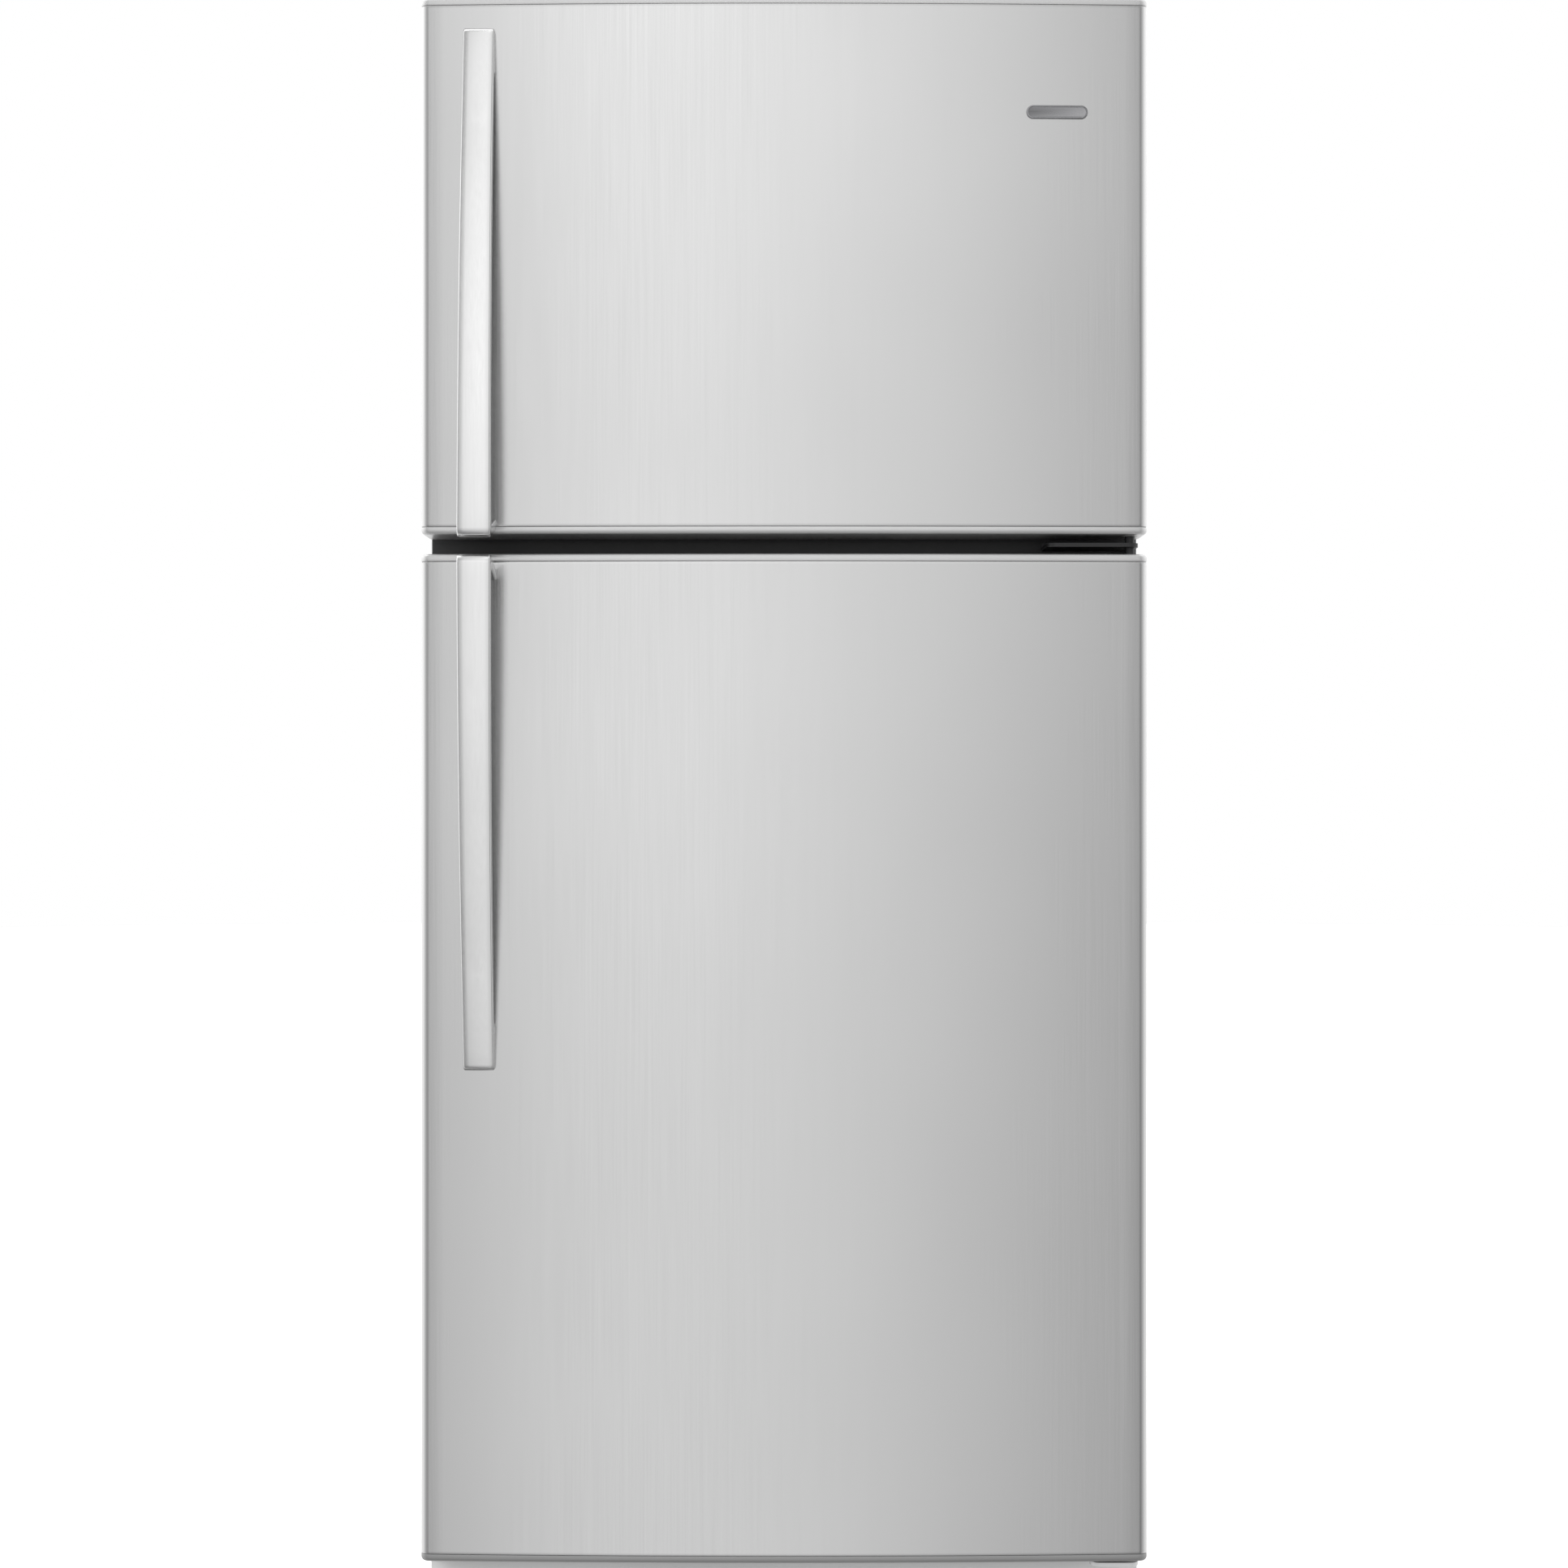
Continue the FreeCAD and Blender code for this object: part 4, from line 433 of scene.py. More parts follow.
# Material of each shown CAD node, and the width of the bevel on its crisp edges in millimetres.
CAD_LOOKS = {
    "outer_wrapper": ("case_paint", 0.6), "rear_panel": ("zinc_sheet", 0.4), "cabinet_insulation": ("foam", 0),
    "mullion_rail": ("black_plastic", 1.0), "base_grille": ("grille_grey", 0.7),
    "base_frame": ("zinc_sheet", 0.5), "top_hinge": ("hinge_paint", 0.6), "centre_hinge": ("hinge_paint", 0.6),
    "bottom_hinge": ("hinge_grey", 0.6), "compressor": ("compressor_black", 0),
    "compressor_grommets": ("rubber_black", 0), "condenser_coil": ("coil_black", 0),
    "condenser_fan_motor": ("motor_metal", 0), "drain_pan": ("black_plastic", 0.5),
    "machine_cover": ("cover_board", 0.4), "cord_gland": ("rubber_black", 0), "evaporator_coil": ("fin_metal", 0),
    "evaporator_fan_motor": ("motor_metal", 0), "evaporator_cover": ("white_plastic", 0.7),
    "freezer_shelf": ("wire_white", 0), "control_housing": ("white_plastic", 0.8),
    "lamp_lens": ("frosted_lens", 0), "air_duct": ("white_plastic", 0.9), "light_switch": ("white_plastic", 0.8),
    "light_switch_plunger": ("white_plastic", 0), "dairy_lid": ("clear_plastic", 0.7),
    "humidity_slide_left": ("knob_plastic", 0.7), "humidity_slide_right": ("knob_plastic", 0.7),
    "shelf_glass": ("shelf_glass", 0.8), "shelf_frames": ("white_plastic", 1.2),
    "freezer_door_bushings": ("bushing_plastic", 0), "fridge_door_bushings": ("bushing_plastic", 0),
}


def dress_cad_nodes():
    """Give each shown CAD node its material and, where it has crisp edges, a small bevel."""
    for name, (paint, edge) in CAD_LOOKS.items():
        node = NODES[name]
        node.data.materials.clear()
        node.data.materials.append(MATERIALS[paint])
        node.data.shade_smooth()
        node.data.set_sharp_from_angle(angle=math.radians(32))
        if edge:
            bevel = node.modifiers.new("edge", "BEVEL")
            bevel.width = edge * MM
            bevel.segments = 2
            bevel.limit_method = "ANGLE"
            bevel.angle_limit = math.radians(40)
            bevel.harden_normals = False


# ---------- door shapes
HALF = (CAD_BOX[1].x - CAD_BOX[0].x) / 2
DOOR_CORNER = 9 * MM
DOOR_CROWN = 8 * MM
SKIN_RETURN = 14 * MM
SKIN_THICK = 0.8 * MM
SKIN_FOLD = 1.6 * MM
SEAM = 0.35 * MM
CAP_RIM = 4.5 * MM
Y_DOOR_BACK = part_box("freezer_door_end_caps")[1].y
Y_DOOR_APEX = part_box("freezer_door_end_caps")[0].y
Y_DOOR_EDGE = Y_DOOR_APEX + DOOR_CROWN


def door_front(x):
    """Y of a door's crowned front at a place across its width."""
    flat_half = HALF - DOOR_CORNER
    radius = (flat_half ** 2 + DOOR_CROWN ** 2) / (2 * DOOR_CROWN)
    return Y_DOOR_APEX + radius - math.sqrt(radius ** 2 - x ** 2)


def front_path(inset, crown_steps=48, corner_steps=8):
    """Plan points from the right side's back end, round the front, to the left side's back end."""
    corner = DOOR_CORNER - inset
    half = HALF - inset
    side_end = Y_DOOR_EDGE + inset + corner
    right = [(half, side_end)]
    right += [(half - corner + corner * math.cos(turn), side_end - corner * math.sin(turn))
              for turn in quarter_turn(corner_steps)[1:-1]]
    middle = []
    for step in range(crown_steps + 1):
        x = (HALF - DOOR_CORNER) * (1 - 2 * step / crown_steps)
        middle.append((x, door_front(x) + inset))
    return right + middle + mirrored(right)


def mirrored(right):
    """A path on the right side, continued on the left side in the other direction."""
    return [(-x, y) for x, y in reversed(right)]


def door_skin(name, node, body):
    """Stainless sheet of a door, with narrow returns behind it and small folds at its back corners."""
    low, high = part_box(node)

    def sheet_path(inset):
        back = Y_DOOR_BACK - inset
        half = HALF - inset
        turn = SKIN_FOLD - inset * 0.5
        right = [(HALF - SKIN_RETURN, back), (half - turn, back), (half - turn * 0.3, back - turn * 0.3),
                 (half, back - turn)]
        return right + front_path(inset) + mirrored(right)

    outer = sheet_path(0.0)
    inner = list(reversed(sheet_path(SKIN_THICK)))
    hem, tucked = 3 * MM, 0.25 * MM
    levels = [(low.z + SEAM, tucked), (low.z + 2 * SEAM, 0.0), (low.z + hem, 0.0),
              (high.z - hem, 0.0), (high.z - 2 * SEAM, 0.0), (high.z - SEAM, tucked)]
    loops = [[(x - math.copysign(tuck, x), y + tuck, z) for x, y in outer] + [(x, y, z) for x, y in inner]
             for z, tuck in levels]
    bm = bmesh.new()
    rows = add_loft(bm, loops, close=False)
    last = len(rows[0]) - 1
    for row in (rows[0], rows[-1]):
        for index in range(last // 2):
            bm.faces.new((row[index], row[index + 1], row[last - 1 - index], row[last - index]))
    piece = finish_mesh(name, bm, body, "steel_door", 40.0)
    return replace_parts(piece, node)


def end_cap(name, face_z, seam_z, body, material="cap_grey"):
    """Moulded end cap of a door with a rounded rim, between its outer face and its seam with the skin."""
    out = 1 if face_z > seam_z else -1
    face_z -= out * 0.15 * MM          # just inside the CAD cap's face
    levels = [(seam_z, 0.6 * MM), (seam_z + out * SEAM, 0.15 * MM), (seam_z + out * 2 * SEAM, 0.0)]
    levels += [(face_z - out * CAP_RIM * (1 - math.sin(turn)), CAP_RIM * (1 - math.cos(turn)))
               for turn in quarter_turn(7)]
    loops = [[(x, y, z) for x, y in [(HALF - inset, Y_DOOR_BACK)] + front_path(inset)
              + [(inset - HALF, Y_DOOR_BACK)]] for z, inset in levels]
    return loft(name, loops, body, material)


def handle(name, node, inner_z, outer_z, body):
    """Bow strap handle with rounded long edges and a slightly crowned face."""
    low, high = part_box(node)
    length = abs(outer_z - inner_z)
    direction = 1 if outer_z > inner_z else -1
    reach = Y_DOOR_EDGE - low.y
    end_rise, thick, foot, lean = in_metres([(13, 12, 46, 14)])[0]
    drop = reach - end_rise
    bow_radius = (length ** 2 + drop ** 2) / (2 * drop)
    inside = -3 * MM                 # both feet reach a little into the door
    run = 40 * MM                    # length of straight that a fillet's sides are taken over

    def bow(along):
        return reach - bow_radius + math.sqrt(bow_radius ** 2 - along ** 2)

    def leg(off):
        return lean * (1 - off / reach)

    def fillet(before, corner, after, radius, steps):
        a = (Vector(before) - Vector(corner)).normalized()
        b = (Vector(after) - Vector(corner)).normalized()
        half = a.angle(b) / 2
        start = Vector(corner) + a * (radius / math.tan(half))
        end = Vector(corner) + b * (radius / math.tan(half))
        centre = Vector(corner) + (a + b).normalized() * (radius / math.sin(half))
        one, two = start - centre, end - centre
        sweep = one.angle(two)
        return [tuple(centre + (one * math.sin((1 - t) * sweep) + two * math.sin(t * sweep))
                      / math.sin(sweep)) for t in spaced(0, 1, steps + 1)]

    back_reach = reach - thick
    heel_u = length - foot
    tip = fillet((leg(inside), inside), (0, reach), (run, reach), 9 * MM, 10)
    end = fillet((length - run, bow(length - run)), (length, bow(length)), (length, inside), 8 * MM, 8)
    heel = fillet((heel_u, inside), (heel_u, bow(heel_u) - thick), (heel_u - run, bow(heel_u - run) - thick),
                  4 * MM, 5)
    crook = fillet((leg(back_reach) + thick + run, back_reach), (leg(back_reach) + thick, back_reach),
                   (leg(inside) + thick, inside), 6 * MM, 6)
    front_run = [(u, bow(u)) for u in spaced(tip[-1][0], end[0][0], 34)[1:-1]]
    back_run = [(u, bow(u) - thick) for u in spaced(heel[-1][0], crook[0][0], 30)[1:-1]]
    outline = ([(leg(inside), inside)] + tip + front_run + end + [(length, inside), (heel_u, inside)]
               + heel + back_run + crook + [(leg(inside) + thick, inside)])
    outline = counter_clockwise(outline)
    x_mid = (low.x + high.x) / 2
    wide, narrow = (high.x - low.x) / 2, 15.8 * MM
    edge, crown = 1.7 * MM, 0.25 * MM
    shares = [(1 - edge / wide * (1 - math.sin(turn)), edge * (1 - math.cos(turn)) + crown)
              for turn in reversed(quarter_turn(5))]
    across = [(-share, inset) for share, inset in shares]
    across += [(t, crown * t * t) for t in (-0.6, -0.3, 0.0, 0.3, 0.6)]
    across += reversed(shares)
    loops = []
    for share, inset in across:
        loop = []
        for u, v in offset_outline(outline, inset):
            half_width = wide + (narrow - wide) * max(min(u / length, 1.0), 0.0)
            loop.append((x_mid + share * half_width, Y_DOOR_EDGE - v, inner_z + direction * u))
        loops.append(loop)
    piece = loft(name, loops, body, "steel_handle", angle=30.0)
    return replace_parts(piece, node)


def upright_loop(x0, x1, z0, z1, radius, y):
    """Rounded rectangle in an upright plane."""
    return [(x, y, z) for x, z in rounded_rectangle(x0, x1, z0, z1, radius, 6)]


def level_loop(x0, x1, y0, y1, inset, radius, z):
    """Rounded rectangle in a level plane, moved inwards by an inset."""
    return [(x, y, z) for x, y in rounded_rectangle(x0 + inset, x1 - inset, y0 + inset, y1 - inset, radius)]


# Section of a gasket: millimetres inwards from its edge, and share of its depth behind the front face.
GASKET_SECTION = [
    (0.3, 0.02), (0.0, 0.12), (0.5, 0.24), (2.4, 0.32), (2.8, 0.38), (1.4, 0.46), (0.2, 0.54), (0.0, 0.62),
    (0.0, 0.90), (0.5, 1.0), (12.0, 1.0), (12.6, 0.90), (12.6, 0.64), (12.0, 0.55), (10.2, 0.47), (9.8, 0.40),
    (11.0, 0.30), (12.8, 0.22), (13.0, 0.12), (12.7, 0.02),
]
GASKET_CORNER = 14 * MM


def gasket(name, node, body):
    """Magnetic door gasket: a base, a folded bellows and the square magnet pocket."""
    low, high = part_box(node)
    depth = high.y - low.y
    loops = []
    for inset, share in GASKET_SECTION:
        inset *= MM
        loops.append(upright_loop(low.x + inset, high.x - inset, low.z + inset, high.z - inset,
                                  max(GASKET_CORNER - inset, 1 * MM), low.y + depth * share))
    piece = loft(name, loops, body, "gasket_rubber", ring=True, angle=28.0)
    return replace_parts(piece, node)


BIN_EDGE = 6 * MM                    # what a bin's wall and its fit take beside its inside
RIDGE_WIDTH = 35 * MM
RIDGE_CORNER = 24 * MM
RIDGE_Z = {
    "freezer_door_inner": (1144 * MM, 1600 * MM),
    "fridge_door_inner": (120 * MM, 1062 * MM),
}


def door_liner(name, node, bin_names, body):
    """Formed inner liner of a door: flat border, rounded ridge and a smooth well between the bins."""
    low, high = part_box(node)
    tip = high.y
    base = Y_DOOR_BACK
    ridge_half = max(INSIDE[b][1][0] for b in bin_names) + BIN_EDGE + RIDGE_WIDTH
    ridge_low, ridge_high = RIDGE_Z[name]
    loops = [upright_loop(low.x, high.x, low.z, high.z, 3 * MM, base)]

    def ridge(grow, y, radius):
        loops.append(upright_loop(-ridge_half - grow, ridge_half + grow, ridge_low - grow, ridge_high + grow,
                                  radius, y))

    foot, shoulder, well_foot = 3 * MM, 9 * MM, 5 * MM
    for turn in quarter_turn(4):
        grow = foot * (1 - math.sin(turn))
        ridge(grow, base + foot * (1 - math.cos(turn)), RIDGE_CORNER + grow)
    for turn in quarter_turn(6):
        grow = -shoulder * (1 - math.cos(turn))
        ridge(grow, tip - shoulder * (1 - math.sin(turn)), RIDGE_CORNER + grow)
    for turn in quarter_turn(6):
        ridge(shoulder * (1 - math.sin(turn)) - RIDGE_WIDTH, tip - shoulder * (1 - math.cos(turn)), 16 * MM)
    for turn in quarter_turn(4):
        ridge(-well_foot * (1 - math.cos(turn)) - RIDGE_WIDTH, base + well_foot * (1 - math.sin(turn)),
              14 * MM)
    bm = bmesh.new()
    rows = add_loft(bm, loops, close=False)
    bm.faces.new(rows[-1])
    piece = finish_mesh(name, bm, body, "white_liner", 40.0)
    if any(polygon.normal.y < -0.9 and polygon.area > 0.05 for polygon in piece.data.polygons):
        piece.data.flip_normals()      # the well has to face the compartment
    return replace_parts(piece, node, body + "_foam")


# Section of a bin's wall: millimetres inwards, millimetres up, and 1 where that is from its top, not its bottom.
BIN_SECTION = [
    (14.0, 0.0, 0), (6.0, 0.0, 0), (3.6, 1.0, 0), (2.4, 4.0, 0), (1.6, -9.0, 1), (0.4, -7.6, 1), (0.0, -6.8, 1),
    (0.0, -1.2, 1), (0.8, -0.2, 1), (1.8, 0.0, 1), (3.2, -0.3, 1), (4.0, -1.2, 1), (4.2, -9.0, 1), (5.2, 6.5, 0),
    (6.6, 3.6, 0), (16.0, 2.6, 0),
]


def add_bin(bm, x0, x1, y0, y1, z0, z1, corner):
    """Open-topped bin with a rolled rim and drafted walls."""
    loops = []
    for inset, rise, top in BIN_SECTION:
        inset *= MM
        loops.append(level_loop(x0, x1, y0, y1, inset, max(corner - inset, 2 * MM),
                                (z1 if top else z0) + rise * MM))
    add_loft(bm, loops)


def door_bins(name, node, bin_names, body):
    """Clear bins of a door, each with a solid trim along its front rim."""
    bm = bmesh.new()
    trims = []
    for bin_name in bin_names:
        (x0, y0, z0), (x1, y1, z1) = INSIDE[bin_name]
        x0 -= BIN_EDGE if x0 < 0 else BIN_EDGE + 1 * MM
        x1 += BIN_EDGE
        front, top = y1 + 6.4 * MM, z1 + 1 * MM
        add_bin(bm, x0, x1, Y_DOOR_BACK + 0.4 * MM, front, z0 - 7 * MM, top, 10 * MM)
        trims.append(((x0 + 8 * MM, front - 4.6 * MM, top - 17 * MM),
                      (x1 - 8 * MM, front - 0.2 * MM, top - 8 * MM)))
    piece = finish_mesh(name, bm, body, "clear_plastic", 40.0)
    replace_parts(piece, node)
    blocks(name + "_trim", trims, 1.6 * MM, body, "white_plastic")


# ---------- doors
BINS = {
    "freezer_door": ["freezer_door_bin_low_inside", "freezer_door_bin_high_inside"],
    "fridge_door": ["fridge_door_bin_low_inside", "fridge_door_bin_middle_inside",
                    "fridge_door_bin_high_inside", "fridge_door_half_bin_inside"],
}
STRAP_LEAD = 2 * MM                  # the leaning leg makes a strap's end start a little later


def make_doors():
    """Everything that shows on both doors."""
    for body, bins in BINS.items():
        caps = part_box(body + "_end_caps")
        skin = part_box(body + "_skin")
        door_skin(body + "_front", body + "_skin", body)
        # The fridge door's bottom cap gets the darker grey copy: painted shade where the rim faces the floor.
        low_paint = "cap_shade" if body == "fridge_door" else "cap_grey"
        low_cap = end_cap(body + "_cap_bottom", caps[0].z, skin[0].z, body, low_paint)
        end_cap(body + "_cap_top", caps[1].z, skin[1].z, body)
        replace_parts(low_cap, body + "_end_caps")
        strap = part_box(body + "_handle")
        inner_z, outer_z = strap[0].z - STRAP_LEAD, strap[1].z
        if body == "fridge_door":
            inner_z, outer_z = strap[1].z + STRAP_LEAD, strap[0].z
        handle(body + "_strap", body + "_handle", inner_z, outer_z, body)
        gasket(body + "_seal", body + "_gasket", body)
        full = [b for b in bins if INSIDE[b][0][0] < 0]
        door_liner(body + "_inner", body + "_liner", full, body)
        door_bins(body + "_racks", body + "_bins", bins, body)


def make_dairy_box():
    """Clear housing around the dairy compartment."""
    (x0, y0, z0), (x1, y1, z1) = INSIDE["dairy_box_inside"]
    around = 5 * MM
    x0, x1, z0, z1 = x0 - around, x1 + around, z0 - around, z1 + around
    y0, y1 = Y_DOOR_BACK + 0.3 * MM, y1 + 12.5 * MM
    wall = 2.8 * MM
    lid_room = 14 * MM
    walls = [
        ((x0, y0, z0), (x1, y1, z0 + wall)),
        ((x0, y0, z1 - wall), (x1, y1 - lid_room, z1)),
        ((x0, y0, z0 + wall), (x0 + wall, y1, z1 - wall)),
        ((x1 - wall, y0, z0 + wall), (x1, y1, z1 - wall)),
    ]
    blocks("dairy_housing", walls, 1 * MM, "fridge_door", "clear_plastic")


# Section of the nameplate's edge, in millimetres inwards and forwards.
PLATE_SECTION = [(0.0, -0.4), (0.0, 1.1), (0.25, 1.5), (0.7, 1.75), (1.3, 1.75), (1.7, 1.45), (2.2, 1.35)]


def make_nameplate():
    """Blank nameplate with rounded ends, following the door's crown."""
    low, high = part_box("nameplate")
    half_high = (high.z - low.z) / 2
    loops = []
    for inset, rise in in_metres(PLATE_SECTION):
        outline = rounded_rectangle(low.x + inset, high.x - inset, low.z + inset, high.z - inset,
                                    half_high - inset, 10)
        loops.append([(x, door_front(x) - rise, z) for x, z in outline])
    piece = loft("blank_nameplate", loops, "freezer_door", "plate_metal")
    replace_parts(piece, "nameplate")


# ---------- cabinet inside
TUB_CORNER = 15 * MM
TUB_HALF = 328 * MM                  # half width inside the fresh-food liner
FREEZER_TUB_HALF = 315 * MM
FLANGE_HALF = 351 * MM


def tub(name, node, half, outline, flange_low, flange_high):
    """Formed liner: a tub open to the front with rounded inside corners and a flat front flange.
    outline is the side shape (y, z) from the lower front corner to the upper front corner."""
    front = outline[0][0]
    bm = bmesh.new()
    left = [bm.verts.new((-half, y, z)) for y, z in outline]
    right = [bm.verts.new((half, y, z)) for y, z in outline]
    bm.faces.new(left)
    bm.faces.new(list(reversed(right)))
    for index in range(len(outline) - 1):
        bm.faces.new((left[index], left[index + 1], right[index + 1], right[index]))
    bmesh.ops.recalc_face_normals(bm, faces=bm.faces)
    inner_edges = [e for e in bm.edges if not e.is_boundary]
    bmesh.ops.bevel(bm, geom=inner_edges, offset=TUB_CORNER, segments=6, profile=0.5, affect="EDGES")
    bmesh.ops.remove_doubles(bm, verts=bm.verts, dist=1e-5)
    bmesh.ops.recalc_face_normals(bm, faces=bm.faces)
    rim = [e for e in bm.edges if e.is_boundary]
    low_z, high_z = outline[0][1], outline[-1][1]
    grown = bmesh.ops.extrude_edge_only(bm, edges=rim)
    for vert in [v for v in grown["geom"] if isinstance(v, bmesh.types.BMVert)]:
        across, down = half - abs(vert.co.x), vert.co.z - low_z
        up = high_z - vert.co.z
        into_x = TUB_CORNER - across
        into_z = TUB_CORNER - min(down, up)
        if into_x > 0 and into_z > 0:
            stretch = TUB_CORNER / max(into_x, into_z)
            across = TUB_CORNER - into_x * stretch
            near = TUB_CORNER - into_z * stretch
            down = near if down < up else high_z - low_z - near
        vert.co.x = math.copysign(half - across, vert.co.x) * FLANGE_HALF / half
        vert.co.z = flange_low + down / (high_z - low_z) * (flange_high - flange_low)
        vert.co.y = front
    piece = finish_mesh(name, bm, "cabinet", "white_liner", 50.0)
    wall = max(piece.data.polygons, key=lambda p: p.area)
    indoors = Vector((0, front + 200 * MM, (low_z + high_z) / 2))
    towards = indoors - wall.center
    if wall.normal.dot(towards) < 0:
        piece.data.flip_normals()
    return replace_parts(piece, node)


def ledge_pairs(name, half, y0, y1, tops):
    """Rounded ledges on both walls that carry the shelves."""
    wide, thick, sunk = in_metres([(10, 5, 0.5)])[0]
    corners = []
    for top in tops:
        for side in (-1, 1):
            x0, x1 = sorted((side * (half - wide), side * (half + sunk)))
            corners.append(((x0, y0, top - thick), (x1, y1, top)))
    blocks(name, corners, 2 * MM, "cabinet", "white_liner")


def make_cabinet_inside():
    """Liners with their ledges, and the pieces inside that need more than a bevel."""
    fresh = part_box("fresh_food_liner")
    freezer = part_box("freezer_liner")
    front = fresh[0].y
    gauge = 2 * MM
    floor_z, ceiling_z = 112 * MM, 1070 * MM
    back_y = fresh[1].y - gauge
    step_y, step_z = front + 405 * MM, 350 * MM
    tub("fresh_food_tub", "fresh_food_liner", TUB_HALF,
        [(front, floor_z), (step_y, floor_z), (step_y, step_z), (back_y, step_z), (back_y, ceiling_z),
         (front, ceiling_z)], fresh[0].z - 1 * MM, fresh[1].z - 0.5 * MM)
    nose, proud = 10 * MM, 0.5 * MM
    nose_half = TUB_HALF - 1 * MM
    blocks("liner_step_nose", [((-nose_half, step_y - proud, step_z - nose),
                                (nose_half, step_y + nose, step_z + proud))], 4 * MM, "cabinet", "white_liner")
    floor_z, ceiling_z = 1136 * MM, 1608 * MM
    back_y = freezer[1].y - gauge
    tub("freezer_tub", "freezer_liner", FREEZER_TUB_HALF,
        [(front, floor_z), (back_y, floor_z), (back_y, ceiling_z), (front, ceiling_z)],
        freezer[0].z + 0.5 * MM, freezer[1].z + 1 * MM)
    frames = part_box("shelf_frames")
    ledge_front = frames[0].y + 20 * MM
    crisper_cover_back = 114 * MM
    ledge_pairs("shelf_ledges", TUB_HALF, ledge_front, frames[1].y, (608 * MM, 808 * MM))
    ledge_pairs("crisper_ledges", TUB_HALF, ledge_front, crisper_cover_back, (340 * MM,))
    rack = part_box("freezer_shelf")
    ledge_pairs("freezer_ledges", FREEZER_TUB_HALF, rack[0].y + 12 * MM, rack[1].y - 8 * MM, (rack[0].z,))


# Section of a crisper's pull, in millimetres back from its front and up from its top.
PULL_SECTION = [
    (16, 0), (3, 0), (0.8, -0.8), (0, -3), (0, -15), (1.2, -16), (2.6, -15), (3.4, -5), (5, -3.6), (11.5, -3.6),
    (11.5, -18), (13.5, -18), (13.5, -3), (16, -3),
]
PULL_LIP = 12 * MM                   # from the pull's front to the drawer's
PULL_SHORT = 14 * MM                   # from the drawer's side to the pull's end


def make_crispers():
    """Clear drawers with a white pull along the top of the front."""
    for body in ("crisper_left", "crisper_right"):
        low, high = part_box(body)
        bm = bmesh.new()
        add_bin(bm, low.x, high.x, low.y + PULL_LIP, high.y, low.z, high.z, 14 * MM)
        piece = finish_mesh(body + "_drawer", bm, body, "clear_plastic", 40.0)
        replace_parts(piece, body)
        section = [(low.y + back, high.z + up) for back, up in in_metres(PULL_SECTION)]
        prism(body + "_pull", section, low.x + PULL_SHORT, high.x - PULL_SHORT, body, "white_plastic",
              0.8 * MM, 2)


KNOBS = ("freezer_knob", "fridge_knob")


def make_knobs():
    """Temperature knobs: ribbed skirt, raised grip and a small pointer."""
    steps, rib, rib_end = 96, 0.45 * MM, 3.5 * MM
    grip, grip_short = 3.2 * MM, 2.2 * MM
    for body in KNOBS:
        low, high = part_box(body)
        x, z = (low.x + high.x) / 2, (low.z + high.z) / 2
        base_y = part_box("control_housing")[0].y - 0.4 * MM
        radius = (high.x - low.x) / 2
        loops = []
        for inset, rise in in_metres([(0, 0), (0, 3), (0.6, 3.8), (2.2, 4.2), (radius / MM - 2, 4.4)]):
            loop = []
            for step in range(steps):
                turn = 2 * math.pi * step / steps
                ribbed = radius - inset - (rib if step % 4 < 2 and rise < rib_end else 0.0)
                loop.append((x + ribbed * math.cos(turn), base_y - rise, z + ribbed * math.sin(turn)))
            loops.append(loop)
        bm = bmesh.new()
        add_loft(bm, loops)
        add_block(bm, (x - grip, low.y, z - radius + grip_short),
                  (x + grip, base_y - 3.5 * MM, z + radius - grip_short), 1.6 * MM)
        add_lathe(bm, in_metres([(2.9, 0), (2.9, 12)]), (x, base_y - 0.2 * MM, z), (0, 1, 0), 24)
        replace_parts(finish_mesh(body + "_cap", bm, body, "knob_plastic"), body)
        blocks(body + "_pointer", [((x - 0.7 * MM, low.y - 0.25 * MM, z + 3 * MM),
                                    (x + 0.7 * MM, low.y + 1 * MM, z + radius - 3.4 * MM))],
               0.2 * MM, body, "black_plastic", 2)


def scale_marks():
    """Raised ticks around each knob on the control box."""
    beside, pitch, half_long, half_thick = in_metres([(24, 5, 3, 0.5)])[0]
    y0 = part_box("control_housing")[0].y - 0.35 * MM
    y1 = y0 + 0.85 * MM
    corners = []
    for body in KNOBS:
        low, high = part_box(body)
        for side in (-1, 1):
            x = (low.x + high.x) / 2 + side * beside
            for index in range(5):
                z = low.z + 4 * MM + index * pitch
                corners.append(((x - half_long, y0, z - half_thick), (x + half_long, y1, z + half_thick)))
    blocks("control_scale_marks", corners, 0.15 * MM, "cabinet", "knob_plastic", 1)


